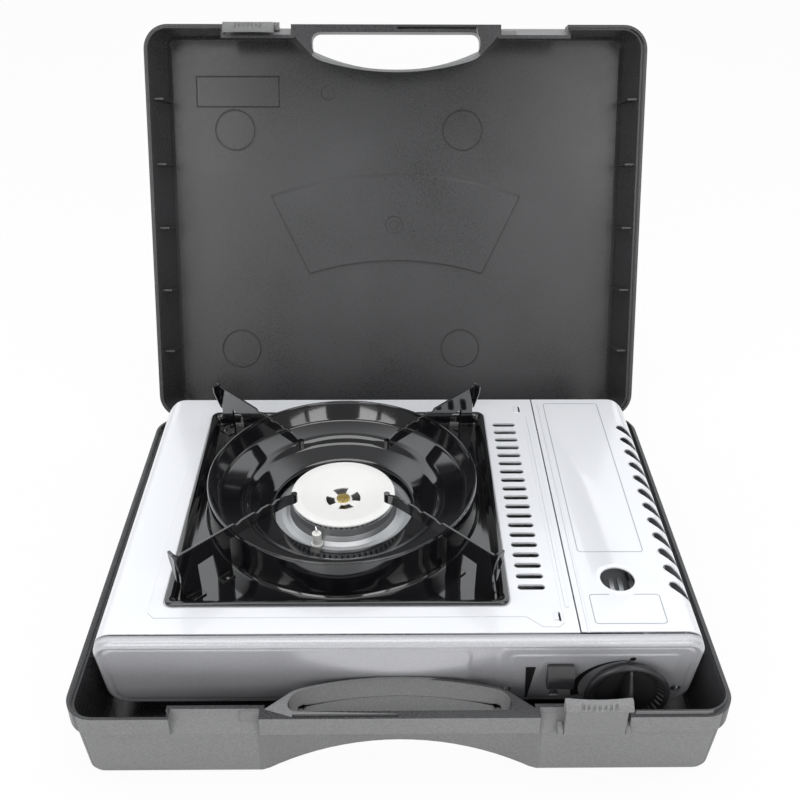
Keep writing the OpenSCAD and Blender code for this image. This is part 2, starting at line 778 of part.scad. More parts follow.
module along_y(x, z, y0) { translate([x, y0, z]) rotate([-90, 0, 0]) children(); }

module regulator_body() {
    color("#a8aaac") difference() {
        union() {
            along_y(gas_x, gas_z, regulator_y) cylinder(r = 20, h = 12);
            along_y(knob_x, knob_z, regulator_y - 8) cylinder(r = 12, h = 10);
            translate([knob_x - 24, regulator_y, knob_z - 14]) cube([44, 10, 24]);
        }
        along_y(knob_x, knob_z, regulator_y - 9) cylinder(r = 3 + fit, h = 12);
        along_y(gas_x, gas_z, regulator_y + 7) cylinder(r = 5 + fit, h = 8);
        translate([knob_x - 30, pipe_y, pipe_z]) rotate([0, 90, 0]) cylinder(r = pipe_r + fit, h = 16);
    }
}

// Socket that the cartridge's valve seals against
module regulator_inlet() {
    color("goldenrod") along_y(gas_x, gas_z, regulator_y + 7) difference() {
        union() {
            cylinder(r = 5, h = 12);
            translate([0, 0, 5]) cylinder(r = 9, h = 3);
        }
        translate([0, 0, 4]) cylinder(r = 2, h = 10);
    }
}

module piezo_igniter() {
    color("#303030") {
        along_y(piezo_x, piezo_z, regulator_y - 2) {
            cylinder(r = 3.6, h = 24);
            translate([0, 0, 5]) cylinder(r = 5, h = 10);
        }
        translate([piezo_x - 4, regulator_y + 4, knob_z + 10]) cube([5.8, 4, piezo_z - knob_z - 13]);
    }
}

module gas_pipe() {
    color("silver") translate([pipe_x, pipe_y, pipe_z]) rotate([0, 90, 0])
        cylinder(r = pipe_r, h = knob_x - 16 - pipe_x);
}

module control_shaft() {
    color("silver") {
        along_y(knob_x, knob_z, knob_back - 5) cylinder(r = 3, h = regulator_y + 2 - knob_back + 5);
        along_y(knob_x, knob_z, knob_back + 1) cylinder(r = 8, h = 1.6);
    }
}

module control_knob() {
    color("#1c1c1c") difference() {
        union() {
            translate([knob_x, knob_back, knob_z]) rotate([90, 0, 0]) rotate_extrude()
                polygon([[0, 0], [knob_r, 0], [knob_r + 0.6, 1.2], [knob_r - 1.2, 4.6], [knob_r - 2.6, 5.6],
                         [knob_r - 4.2, 4.8], [knob_r - 7, 3.2], [0, 2.6]]);
            knob_fin();
        }
        along_y(knob_x, knob_z, knob_back - 5 - e) cylinder(r = 3 + fit, h = 8);
        for (a = [0:10:350]) translate([knob_x, knob_back - 4.8, knob_z]) rotate([0, a, 0])
            translate([knob_r - 5, 0, 0]) cube([4, 2, 1.3], center = true);
    }
}

// Grip fin across the dial, thin at the edge and thick at its root
module knob_fin() {
    translate([knob_x, knob_back, knob_z]) rotate([90, 0, 0]) linear_extrude(knob_back - knob_front)
        polygon([[-1.6, -knob_r + 2], [1.6, -knob_r + 2], [3.2, 0], [2.2, knob_r - 1], [-2.2, knob_r - 1], [-3.2, 0]]);
}

module cartridge_lever() {
    y = face_y(lever_z);
    color("#202020") {
        difference() {
            translate([lever_x, y, lever_z]) rotate([90, 0, 90]) linear_extrude(15, center = true)
                polygon([[-3, -8], [-7.6, -8], [-9.4, -6.6], [-9.4, 1], [-8.8, 2.2], [-4.6, 7], [-3, 7]]);
            translate([lever_x - 6, y - 9.9, lever_z - 4]) cube([12, 1, 3]);
        }
        translate([lever_x - 1.9, y - 3.1, lever_z - 6]) cube([3.8, link_y - y + 3.1, 10]);
    }
}

module lever_link() {
    color("silver") translate([lever_x - 1, link_y, lever_z - 14]) cube([2, 2, 20]);
}

// Fork that pushes the cartridge's collar onto the regulator
module lock_slide() {
    x0 = seam_x + 2.8;
    x1 = pan_w / 2 - sheet - 1.4;
    color("silver") difference() {
        translate([x0, lock_y, pan_z]) cube([x1 - x0, 1.6, gas_z + 8 - pan_z]);
        along_y(gas_x, gas_z, lock_y - 2) {
            cylinder(r = 12, h = 6);
            translate([-12, -12 - gas_z, 0]) cube([24, 12 + gas_z, 6]);
        }
    }
}

module injector() {
    color("goldenrod") translate([pipe_x - 9, pipe_y, pipe_z]) rotate([0, 90, 0]) cylinder(r = 5, h = 9, $fn = 6);
}

mix_from = [pipe_x - 14, pipe_y, pipe_z];
mix_to = [burner_x, burner_y, pipe_z];
mix_dir = mix_to - mix_from;
mix_len = norm(mix_dir);

module mixing_tube() {
    a = atan2(mix_dir[1], mix_dir[0]);
    color("silver") translate(mix_from) rotate([0, 0, a]) rotate([0, 90, 0]) {
        difference() {
            union() {
                cylinder(r = 8, h = mix_len - 16);
                cylinder(r = 10, h = 6);
            }
            translate([0, 0, -1]) cylinder(r = 6.8, h = mix_len);
        }
    }
}

module at_burner(z) { translate([burner_x, burner_y, z]) children(); }

// Hub under the head, fed from the side by the mixing tube
module burner_body() {
    z0 = gas_z - 19;
    color("#b0b2b4") difference() {
        at_burner(z0) rotate_extrude()
            polygon([[9, 0], [15.4, 0], [15.4, 24], [20, 33], [29, lip_z - 2.4 - z0], [hub_r, lip_z - 0.8 - z0],
                     [hub_r, lip_z - z0], [28.4, lip_z - z0], [17, 34], [9, 26]]);
    }
}

module burner_bracket() {
    color("silver") difference() {
        at_burner(pan_z) union() {
            translate([-40, -11, 0]) cube([80, 22, 1.4]);
            for (s = [-1, 1]) translate([s * 17.4 - 0.7, -11, 0]) cube([1.4, 22, gas_z - 19 - pan_z - 0.2]);
            translate([-17.4, -11, gas_z - 20.8 - pan_z]) cube([34.8, 22, 1.4]);
        }
        at_burner(0) cylinder(r = 6, h = 60);
    }
}

// Flared skirt under the ports that turns out into a flat collar
module spill_flange() {
    z = top_z - 10;
    color("whitesmoke") difference() {
        at_burner(z) rotate_extrude()
            polygon([[hub_r, lip_z - z - 0.8], [hub_r, lip_z - z], [hub_r + 0.8, lip_z - z], [33.4, 6], [35.2, 2.8],
                     [37.8, 1.2], [40.6, 0.6], [flange_r, 0.6], [flange_r, -0.4], [40.2, -0.4], [37.2, 0.2], [34.2, 2],
                     [32.4, 5.4]]);
        at_electrode(z - 4) cylinder(r = ceramic_r + rest_gap, h = 16);
    }
}

module port_ring() {
    z = cap_z - 4.4;
    color("silver") difference() {
        at_burner(z) rotate_extrude() polygon([[28.6, 0], [cap_r - 0.4, 0], [cap_r - 0.4, 0.6], [cap_r - 1.2, 0.9],
                                                    [cap_r - 1.2, 2.8], [28.6, 2.8]]);
        for (i = [0:port_count - 1]) at_burner(z + 1.9) rotate([0, 0, i * 360 / port_count])
            translate([31, 0, 0]) cube([8, 1.3, 2.2], center = true);
    }
}

module burner_cap() {
    z = cap_z - 1.5;
    color("ivory") difference() {
        at_burner(z) rotate_extrude()
            polygon([[0, -5.2], [9, -5.2], [28.4, 0], [cap_r, 0], [cap_r + 0.2, 0.7], [cap_r - 0.4, 1.5],
                     [28.2, 1.4], [9, -3.7], [0, -3.9]]);
        for (a = [cap_turn:90:270 + cap_turn]) at_burner(z - 8) rotate([0, 0, a]) linear_extrude(8)
            polygon(concat(arc(11, -27, 27, 8), arc(5.8, 20, -20, 6)));
        at_burner(z - 20) cylinder(r = 2.1, h = 40);
    }
}

module burner_screw() {
    z = cap_z - 1.5 - 3.9 + 0.2;
    color("goldenrod") at_burner(z) difference() {
        union() {
            cylinder(r = 4.4, h = 1.2);
            translate([0, 0, -22]) cylinder(r = 2, h = 22.5);
        }
        translate([0, 0, 1.2]) cube([6, 1, 1.2], center = true);
    }
}

module at_electrode(z) { translate([burner_x - 15.4, burner_y - 35.4, z]) children(); }

module electrode_ceramic() {
    color("white") at_electrode(top_z - 8.8) {
        cylinder(r = ceramic_r - 1, h = 9.4);
        cylinder(r = ceramic_r, h = 1.6);
    }
}

module electrode_wire() {
    color("dimgray") at_electrode(top_z + 0.6) {
        cylinder(r = 0.7, h = 2.6, $fn = 24);
        translate([0, 0, 2]) rotate([-60, 0, 20]) cylinder(r = 0.6, h = 2.6, $fn = 24);
    }
}

// Lead from the igniter to the electrode, a tube swept along chosen points
lead_points = [[113.5, -80.8, 66.5], [113, -76, 67], [107, -74, 66], [101, -75, 61.5], [94.7, -76.5, 58.5], [86, -75, 57],
               [76, -72, 56], [60, -70, 55], [36, -66, 54], [8, -58, 53],
               [-18, -50, 54], [-38, -44, 57], [-48, -38, 60], [-50, -34.5, 64]];
module ignition_lead() {
    r = 1.3;
    n = 8;
    m = len(lead_points);
    dirs = [for (i = [0:m - 1]) let (d = lead_points[min(i + 1, m - 1)] - lead_points[max(i - 1, 0)]) d / norm(d)];
    function side(d) = let (s = cross(d, [0.3, 0.2, 1])) s / norm(s);
    ring = [for (i = [0:m - 1]) let (u = side(dirs[i]), v = cross(dirs[i], u))
            for (k = [0:n - 1]) lead_points[i] + r * (u * cos(k * 360 / n) + v * sin(k * 360 / n))];
    faces = concat([[for (k = [0:n - 1]) k]], [[for (k = [n - 1:-1:0]) (m - 1) * n + k]],
        [for (i = [0:m - 2], k = [0:n - 1]) [i * n + k, (i + 1) * n + k, (i + 1) * n + (k + 1) % n, i * n + (k + 1) % n]]);
    color("#404040") polyhedron(ring, faces);
}

// ---- tray and pan supports ----

module drip_tray() {
    h = tray_s / 2;
    color("#161616") difference() {
        union() {
            // Square pan: rolled rim, well and flat
            translate([burner_x, burner_y, top_z + 0.2]) linear_extrude(2) difference() {
                rounded(tray_s, tray_s, 5);
                rounded(tray_s - 7, tray_s - 7, 3);
            }
            translate([burner_x, burner_y, tray_z - tray_t]) linear_extrude(top_z + 0.2 - tray_z + tray_t + e) difference() {
                rounded(tray_well - 1, tray_well - 1, 4);
                rounded(tray_well - 1 - 2 * tray_t, tray_well - 1 - 2 * tray_t, 3);
            }
            translate([burner_x, burner_y, top_z + 0.2]) linear_extrude(tray_t) difference() {
                rounded(tray_s - 2, tray_s - 2, 4);
                rounded(tray_well - 1 - 2 * tray_t, tray_well - 1 - 2 * tray_t, 3);
            }
            translate([burner_x, burner_y, tray_z - tray_t]) linear_extrude(tray_t) difference() {
                rounded(tray_well - 1, tray_well - 1, 4);
                circle(ring_r);
            }
            // Wind shield and stepped dish
            at_burner(0) rotate_extrude($fn = 96)
                polygon([[ring_r + 2, tray_z - tray_t], [ring_r + 2, tray_z], [ring_r + 0.6, tray_z + 2.4], [ring_r, ring_z - 1],
                         [ring_r - 0.6, ring_z], [ring_r - 1.8, ring_z], [ring_r - 2.2, ring_z - 1.2], [ring_r - 7, top_z + 8.5],
                         [ring_r - 20.6, top_z + 6], [ring_r - 23, top_z + 4.4], [ring_r - 26, dish_z + 1.4],
                         [tray_hole_r + 1, dish_z - 1], [tray_hole_r, dish_z - 3], [tray_hole_r, dish_z - 5],
                         [tray_hole_r + 1.2, dish_z - 5], [tray_hole_r + 1.6, dish_z - 2.2], [ring_r - 24.6, dish_z],
                         [ring_r - 21.8, top_z + 3.4], [ring_r - 20, top_z + 4.8], [ring_r - 6, top_z + 7.3],
                         [ring_r - 2.4, ring_z - 6], [ring_r - 1.4, tray_z + 2.4], [ring_r - 0.8, tray_z - tray_t]]);
        }
    }
}

// Side view of a support: x runs outwards from the burner along the tray's diagonal
module support_side() {
    k = sqrt(2);
    z = support_z - tray_z;
    foot = 0;
    lift = ring_z + 0.5 - tray_z;
    polygon(concat(
        [[64.6 * k, foot], [72 * k, foot], [73.2 * k, 20.4], [81.2 * k, 19.6], [80.8 * k, foot], [91.4 * k, foot],
         [90.2 * k, 8], [89.8 * k, 18], [91 * k, 29], [92.4 * k, z + 2.2], [91.4 * k, z + 2.2], [89.6 * k, z]],
        [[61.4 * k, z], [60.6 * k, z - 1.6], [59.4 * k, z - 1.6], [57.4 * k, z - 0.4], [50.4 * k, z - 0.3], [49.6 * k, z - 1.8],
         [48.6 * k, z - 1.8], [46.8 * k, z - 0.5], [42.2 * k, z - 0.8], [41.4 * k, z - 2.2], [40.4 * k, z - 2.2],
         [38.6 * k, z - 0.9], [34 * k, z - 1.8]],
        [[29.4 * k, z - 4.2], [27.6 * k, z - 6], [27.4 * k, z - 9.2], [28.6 * k, z - 11.2], [33 * k, lift - 0.6], [48 * k, lift],
         [64.6 * k, lift]]));
}

module support(a, fold) {
    tip_z = support_z - tray_z - 4;
    at_burner(tray_z) rotate([0, 0, a]) {
        rotate([90, 0, 0]) linear_extrude(support_t, center = true) support_side();
        // Rolled tip at the burner, and a tapering fin folded over at the outer end
        translate([28.6 * sqrt(2), 0, tip_z - 5.6]) cylinder(r = 1.9, h = 6, $fn = 32);
        translate([90.4 * sqrt(2), 0, 0]) mirror([0, fold < 0 ? 1 : 0, 0]) rotate([90, 0, 90]) linear_extrude(support_t)
            polygon([[0, tip_z - 15], [1.4, tip_z - 13], [3.2, tip_z - 7], [5.4, tip_z], [6, tip_z + 5.4], [0, tip_z + 5.4]]);
        // Feet turned out along the tray
        for (f = [[66, 72], [81, 88.4]]) translate([f[0] * sqrt(2), 0, 0]) cube([(f[1] - f[0]) * sqrt(2), 6, 1.2]);
    }
}

module support_front_left() { color("#1a1a1a") support(225, -1); }
module support_front_right() { color("#1a1a1a") support(315, 1); }
module support_rear_left() { color("#1a1a1a") support(135, 1); }
module support_rear_right() { color("#1a1a1a") support(45, -1); }

module support_rivets() {
    color("#1a1a1a") for (a = [45:90:315]) at_burner(tray_z + 1.2) rotate([0, 0, a])
        for (x = [69, 86]) translate([x * sqrt(2), 3.8, 0]) cylinder(r1 = 1.8, r2 = 1.2, h = 1, $fn = 24);
}

case_base();
hinge_pins();
base_latch();
base_latch_pin();
case_lid();
lid_latch();
lid_latch_pin();
body_shell();
front_panel();
bottom_pan();
pan_screws();
rubber_feet();
partition_wall();
panel_screws();
cartridge_cover();
cover_hinge_pins();
cartridge_cradle();
cartridge_guide();
regulator_body();
regulator_inlet();
control_shaft();
control_knob();
piezo_igniter();
cartridge_lever();
lever_link();
lock_slide();
gas_pipe();
injector();
mixing_tube();
burner_body();
burner_bracket();
spill_flange();
port_ring();
burner_cap();
burner_screw();
electrode_ceramic();
electrode_wire();
ignition_lead();
drip_tray();
support_front_left();
support_front_right();
support_rear_left();
support_rear_right();
support_rivets();
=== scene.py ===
# Butane stove in its open carry case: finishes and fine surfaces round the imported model.
import json
import math

import bmesh
import bpy
import numpy as np
from mathutils import Matrix, Vector


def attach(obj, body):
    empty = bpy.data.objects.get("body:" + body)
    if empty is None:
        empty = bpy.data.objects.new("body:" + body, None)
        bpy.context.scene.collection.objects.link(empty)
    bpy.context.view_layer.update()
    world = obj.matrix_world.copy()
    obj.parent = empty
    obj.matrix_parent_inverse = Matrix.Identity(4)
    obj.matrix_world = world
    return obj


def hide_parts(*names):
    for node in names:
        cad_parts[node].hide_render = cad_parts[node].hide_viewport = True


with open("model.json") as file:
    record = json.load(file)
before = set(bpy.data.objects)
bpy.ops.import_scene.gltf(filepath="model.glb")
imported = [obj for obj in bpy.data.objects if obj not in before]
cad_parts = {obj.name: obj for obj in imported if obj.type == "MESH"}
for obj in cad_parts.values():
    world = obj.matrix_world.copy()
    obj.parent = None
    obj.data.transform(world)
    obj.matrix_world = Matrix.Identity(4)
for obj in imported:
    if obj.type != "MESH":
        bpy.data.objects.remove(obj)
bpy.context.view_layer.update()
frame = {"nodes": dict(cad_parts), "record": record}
nodes = frame["nodes"]
bodyOf = {name: body for body, names in frame["record"]["behaviour"]["bodies"].items() for name in names}
slotOf = {part["node"]: part["material_slot"] for part in frame["record"]["subparts"]}
mm = 0.001  # the shapes below are written in millimetres
print("frame loaded:", len(nodes), "nodes")

# the camera's place in millimetres, its turns in degrees, and its lens
view = {"at": (-5.63, -518.8, 493.6), "yaw": 0.73, "pitch": 32.87, "roll": 0.29, "lens": 45.4, "sensor": 36.0}


def turned(side, up, angle):
    # two crossing directions, both turned by the same angle in their own plane
    return side * math.cos(angle) + up * math.sin(angle), up * math.cos(angle) - side * math.sin(angle)


def placeCamera(v):
    yaw, pitch = math.radians(v["yaw"]), math.radians(v["pitch"])
    ahead = np.array([math.sin(yaw) * math.cos(pitch), math.cos(yaw) * math.cos(pitch), -math.sin(pitch)])
    side = np.array([math.cos(yaw), -math.sin(yaw), 0.0])
    side, up = turned(side, np.cross(side, ahead), math.radians(v["roll"]))
    data = bpy.data.cameras.new("camera")
    data.lens, data.sensor_width = v["lens"], v["sensor"]
    data.clip_start, data.clip_end = 0.01, 50
    camera = bpy.data.objects.new("camera", data)
    bpy.context.scene.collection.objects.link(camera)
    place = np.eye(4)
    place[:3, 0], place[:3, 1], place[:3, 2] = side, up, -ahead
    place[:3, 3] = np.array(v["at"]) * mm
    camera.matrix_world = Matrix(place.tolist())
    bpy.context.scene.camera = camera


placeCamera(view)
bpy.context.scene.view_settings.view_transform = "Standard"

studio = {
    "floor": {"size": 12.0, "tone": 0.86, "shine": 0.93},
    # brightness all round, behind the object and above that; low and high are the heights where the backdrop
    # starts and ends, and back is where it turns round to the sides
    "surround": {"base": 0.30, "behind": 1.5, "above": 0.5, "low": (0.16, 0.22), "high": (0.80, 0.92),
                 "back": (0.02, 0.20), "tint": (0.97, 0.985, 1)},
    "lamps": {
        "overhead": {"at": (0.0, -0.15, 1.6), "to": (0, 0, 0.05), "size": (1.3, 0.8), "power": 9.0},
        "frontLeftOuter": {"at": (-1.06, -1.20, 0.92), "to": (0, 0, 0.2), "size": (0.42, 0.80), "power": 3.2},
        "frontLeftInner": {"at": (-0.60, -1.42, 0.92), "to": (0, 0, 0.2), "size": (0.46, 0.80), "power": 4.6},
        "frontRightInner": {"at": (0.60, -1.42, 0.92), "to": (0, 0, 0.2), "size": (0.46, 0.80), "power": 4.2},
        "frontRightOuter": {"at": (1.06, -1.20, 0.92), "to": (0, 0, 0.2), "size": (0.42, 0.80), "power": 2.6},
        "frontLow": {"at": (0.0, -1.5, 0.22), "to": (0, 0, 0.1), "size": (1.6, 0.25), "power": 0.9},
    },
}


def mathNode(tree, operation, first, second):
    # a sum on two values, each a number or another node's output
    node = tree.nodes.new("ShaderNodeMath")
    node.operation = operation
    for socket, value in zip(node.inputs, (first, second)):
        if isinstance(value, (int, float)):
            socket.default_value = value
        else:
            tree.links.new(value, socket)
    return node.outputs[0]


def cameraMask(tree, kinds):
    # 1 where the ray is one of the named kinds
    path = tree.nodes.new("ShaderNodeLightPath")
    total = path.outputs[kinds[0]]
    for kind in kinds[1:]:
        total = mathNode(tree, "MAXIMUM", total, path.outputs[kind])
    return total


def ramp(tree, value, low, high, start=0.0, end=1.0):
    # start below low, end above high, smooth between
    node = tree.nodes.new("ShaderNodeMapRange")
    node.interpolation_type = "SMOOTHSTEP"
    tree.links.new(value, node.inputs["Value"])
    for label, number in (("From Min", low), ("From Max", high), ("To Min", start), ("To Max", end)):
        node.inputs[label].default_value = number
    return node.outputs["Result"]


def surroundStrength(tree, s):
    # the base all round, plus what the backdrop and the part above it add behind the object
    point = tree.nodes.new("ShaderNodeTexCoord").outputs["Generated"]
    axes = tree.nodes.new("ShaderNodeSeparateXYZ")
    tree.links.new(point, axes.inputs[0])
    lifted = ramp(tree, axes.outputs["Z"], *s["low"])
    behind = ramp(tree, axes.outputs["Y"], *s["back"])
    added = ramp(tree, axes.outputs["Z"], *s["high"], s["behind"] - s["base"], s["above"] - s["base"])
    extra = mathNode(tree, "MULTIPLY", mathNode(tree, "MULTIPLY", lifted, behind), added)
    return mathNode(tree, "ADD", extra, s["base"])


def buildSurround(s):
    # white to the camera, graded light to everything else
    world = bpy.data.worlds.new("studio")
    bpy.context.scene.world = world
    world.use_nodes = True
    tree = world.node_tree
    tree.nodes.clear()
    out = tree.nodes.new("ShaderNodeOutputWorld")
    mix = tree.nodes.new("ShaderNodeMixShader")
    soft = tree.nodes.new("ShaderNodeBackground")
    soft.inputs["Color"].default_value = s["tint"] + (1,)
    seen = tree.nodes.new("ShaderNodeBackground")
    seen.inputs["Color"].default_value = (1, 1, 1, 1)
    tree.links.new(surroundStrength(tree, s), soft.inputs["Strength"])
    tree.links.new(cameraMask(tree, ("Is Camera Ray", "Is Transmission Ray")), mix.inputs[0])
    tree.links.new(soft.outputs[0], mix.inputs[1])
    tree.links.new(seen.outputs[0], mix.inputs[2])
    tree.links.new(mix.outputs[0], out.inputs[0])


def placeLamp(name, lamp):
    data = bpy.data.lights.new(name, "AREA")
    data.shape, data.energy = "RECTANGLE", lamp["power"]
    data.size, data.size_y = lamp["size"]
    obj = bpy.data.objects.new(name, data)
    obj.location = lamp["at"]
    obj.rotation_euler = (Vector(lamp["to"]) - Vector(lamp["at"])).to_track_quat("-Z", "Y").to_euler()
    obj.visible_camera = False
    bpy.context.scene.collection.objects.link(obj)


def layFloor(s):
    # pale paint that keeps the shadow, with a white glow over it where the camera or a reflection sees it
    half = s["size"] / 2
    corners = [(-half, -half, 0), (half, -half, 0), (half, half, 0), (-half, half, 0)]
    mesh = bpy.data.meshes.new("floor")
    mesh.from_pydata(corners, [], [(0, 1, 2, 3)])
    floor = bpy.data.objects.new("floor", mesh)
    bpy.context.scene.collection.objects.link(floor)
    material = bpy.data.materials.new("floor")
    material.use_nodes = True
    tree = material.node_tree
    tree.nodes.clear()
    out = tree.nodes.new("ShaderNodeOutputMaterial")
    mix = tree.nodes.new("ShaderNodeMixShader")
    paint = tree.nodes.new("ShaderNodeBsdfDiffuse")
    paint.inputs["Color"].default_value = (s["tone"],) * 3 + (1,)
    glow = tree.nodes.new("ShaderNodeEmission")
    mask = cameraMask(tree, ("Is Camera Ray", "Is Glossy Ray", "Is Transmission Ray"))
    tree.links.new(mathNode(tree, "MULTIPLY", mask, s["shine"]), mix.inputs[0])
    tree.links.new(paint.outputs[0], mix.inputs[1])
    tree.links.new(glow.outputs[0], mix.inputs[2])
    tree.links.new(mix.outputs[0], out.inputs[0])
    mesh.materials.append(material)


buildSurround(studio["surround"])
for name, lamp in studio["lamps"].items():
    placeLamp(name, lamp)
layFloor(studio["floor"])
print("camera, lamps and floor ready")


def nodeGroup(name, inputs, outputs):
    tree = bpy.data.node_groups.new(name, "ShaderNodeTree")
    for label, kind, value in inputs:
        tree.interface.new_socket(label, in_out="INPUT", socket_type=kind).default_value = value
    for label, kind in outputs:
        tree.interface.new_socket(label, in_out="OUTPUT", socket_type=kind)
    return tree, tree.nodes.new("NodeGroupInput"), tree.nodes.new("NodeGroupOutput")


def noiseNode(tree, vector, scale, detail):
    # cloudy noise about 0, its fineness taken from another node
    node = tree.nodes.new("ShaderNodeTexNoise")
    node.inputs["Detail"].default_value = detail
    tree.links.new(vector, node.inputs["Vector"])
    tree.links.new(scale, node.inputs["Scale"])
    return mathNode(tree, "SUBTRACT", node.outputs["Fac"], 0.5)


def objectPoint(tree, stretch):
    point = tree.nodes.new("ShaderNodeTexCoord").outputs["Object"]
    if stretch is None:
        return point
    mapping = tree.nodes.new("ShaderNodeMapping")
    mapping.inputs["Scale"].default_value = stretch
    tree.links.new(point, mapping.inputs["Vector"])
    return mapping.outputs["Vector"]


def toned(tree, colour, factor):
    # colour times a number
    node = tree.nodes.new("ShaderNodeVectorMath")
    node.operation = "SCALE"
    tree.links.new(colour, node.inputs[0])
    tree.links.new(factor, node.inputs["Scale"])
    return node.outputs[0]


def makeSkinGroup(name, stretch=None):
    # fine grain and broad mottling that shade the colour, the roughness and a height
    tree, start, end = nodeGroup(name, [
        ("Color", "NodeSocketColor", (0.5, 0.5, 0.5, 1)), ("Mottle Size", "NodeSocketFloat", 20.0),
        ("Mottle", "NodeSocketFloat", 0.1), ("Grain Size", "NodeSocketFloat", 900.0),
        ("Grain", "NodeSocketFloat", 0.1), ("Roughness", "NodeSocketFloat", 0.5),
        ("Roughness Spread", "NodeSocketFloat", 0.1)],
        [("Color", "NodeSocketColor"), ("Roughness", "NodeSocketFloat"), ("Height", "NodeSocketFloat")])
    point = objectPoint(tree, stretch)
    broad = noiseNode(tree, point, start.outputs["Mottle Size"], 3.0)
    fine = noiseNode(tree, point, start.outputs["Grain Size"], 1.0)
    shade = mathNode(tree, "ADD", mathNode(tree, "MULTIPLY", broad, start.outputs["Mottle"]),
                     mathNode(tree, "MULTIPLY", fine, start.outputs["Grain"]))
    colour = toned(tree, start.outputs["Color"], mathNode(tree, "ADD", shade, 1.0))
    spread = mathNode(tree, "MULTIPLY", mathNode(tree, "ADD", broad, fine), start.outputs["Roughness Spread"])
    tree.links.new(colour, end.inputs["Color"])
    tree.links.new(mathNode(tree, "ADD", start.outputs["Roughness"], spread), end.inputs["Roughness"])
    tree.links.new(fine, end.inputs["Height"])
    return tree


skinGroup = makeSkinGroup("mouldedSkin")
brushedGroup = makeSkinGroup("rolledSheet", stretch=(1.0, 14.0, 14.0))
grainDepth = 0.05  # height of the grain at a bump of 1


def finish(name, colour, roughness, mottle, grain, bump, spread=0.08, group=skinGroup, metallic=0.0, edge=0.0,
           **sockets):
    # a Principled material fed by an effect group: mottle and grain are a size and an amount each, edge is
    # how many millimetres the shading rounds a corner by, sockets are plain numbers on the shader
    material = bpy.data.materials.new(name)
    material.use_nodes = True
    tree = material.node_tree
    shader = tree.nodes["Principled BSDF"]
    effect = tree.nodes.new("ShaderNodeGroup")
    effect.node_tree = group
    values = {"Color": colour + (1.0,), "Mottle Size": mottle[0], "Mottle": mottle[1], "Grain Size": grain[0],
              "Grain": grain[1], "Roughness": roughness, "Roughness Spread": spread}
    for label, value in values.items():
        effect.inputs[label].default_value = value
    tree.links.new(effect.outputs["Color"], shader.inputs["Base Color"])
    tree.links.new(effect.outputs["Roughness"], shader.inputs["Roughness"])
    shader.inputs["Metallic"].default_value = metallic
    for label, value in sockets.items():
        shader.inputs[label.replace("_", " ")].default_value = value
    node = tree.nodes.new("ShaderNodeBump")
    node.inputs["Strength"].default_value = bump
    node.inputs["Distance"].default_value = grainDepth * mm
    tree.links.new(effect.outputs["Height"], node.inputs["Height"])
    tree.links.new(node.outputs["Normal"], shader.inputs["Normal"])
    if edge:
        corner = tree.nodes.new("ShaderNodeBevel")
        corner.samples = 4
        corner.inputs["Radius"].default_value = edge * mm
        tree.links.new(corner.outputs["Normal"], node.inputs["Normal"])
    return material


materials = {
    "caseOuter": finish("case outside", (0.215, 0.215, 0.217), 0.60, (9.0, 0.22), (1250.0, 0.75), 0.4,
                        edge=0.8),
    # the same plastic as the outside but five times darker: painted shade for the cavity, and its strong broad
    # mottle is partly painted blotchy sheen; the lower roughness and its spread are real
    "caseInsideShaded": finish("case inside painted shade", (0.044, 0.044, 0.046), 0.31, (6.0, 2.1), (1250.0, 1.0), 0.3,
                        spread=0.5, edge=0.9),
    "whiteEnamel": finish("white enamel", (0.80, 0.81, 0.84), 0.24, (8.0, 0.03), (260.0, 0.01), 0.03,
                          edge=0.5, Coat_Weight=0.5, Coat_Roughness=0.08),
    "silverEnamel": finish("silver enamel", (0.53, 0.53, 0.555), 0.38, (10.0, 0.08), (1250.0, 0.35), 0.03,
                           metallic=0.25, Coat_Weight=0.6, Coat_Roughness=0.12),
    "blackEnamel": finish("black enamel", (0.005, 0.005, 0.006), 0.10, (16.0, 0.2), (700.0, 0.1), 0.02,
                          Coat_Weight=1.0, Coat_Roughness=0.05),
    "creamEnamel": finish("cream enamel", (0.86, 0.857, 0.84), 0.34, (16.0, 0.03), (700.0, 0.04), 0.05),
    "castAluminium": finish("cast aluminium", (0.62, 0.62, 0.63), 0.36, (40.0, 0.12), (800.0, 0.15), 0.15,
                            metallic=0.9),
    "galvanised": finish("galvanised steel", (0.48, 0.49, 0.50), 0.42, (45.0, 0.25), (500.0, 0.08), 0.05,
                         metallic=0.9),
    "brightSteel": finish("bright steel", (0.78, 0.78, 0.79), 0.24, (30.0, 0.05), (500.0, 0.12), 0.05,
                          group=brushedGroup, metallic=1.0),
    "brass": finish("brass", (0.72, 0.56, 0.22), 0.28, (60.0, 0.1), (700.0, 0.05), 0.05, metallic=1.0),
    "ceramic": finish("ceramic", (0.85, 0.84, 0.81), 0.3, (40.0, 0.04), (900.0, 0.04), 0.05, Coat_Weight=0.5),
    "blackPlastic": finish("black plastic", (0.028, 0.028, 0.030), 0.34, (30.0, 0.2), (1300.0, 0.3), 0.15),
    "rubber": finish("rubber", (0.02, 0.02, 0.02), 0.8, (40.0, 0.2), (900.0, 0.3), 0.3),
    "leadSleeve": finish("lead sleeve", (0.05, 0.05, 0.052), 0.5, (40.0, 0.2), (900.0, 0.2), 0.1),
    "printBlack": finish("black print", (0.012, 0.012, 0.012), 0.4, (40.0, 0.1), (900.0, 0.1), 0.02),
    "printGrey": finish("grey print", (0.30, 0.31, 0.34), 0.4, (40.0, 0.1), (900.0, 0.1), 0.02),
}
slotMaterial = {
    "case_plastic": "caseOuter", "latch_plastic": "caseOuter", "white_enamel": "whiteEnamel",
    "silver_enamel": "silverEnamel", "black_enamel": "blackEnamel", "galvanised_steel": "galvanised",
    "bright_steel": "brightSteel", "cast_aluminium": "castAluminium", "brass": "brass",
    "cream_enamel": "creamEnamel", "ceramic": "ceramic", "black_plastic": "blackPlastic", "rubber": "rubber",
    "lead_sleeve": "leadSleeve",
}
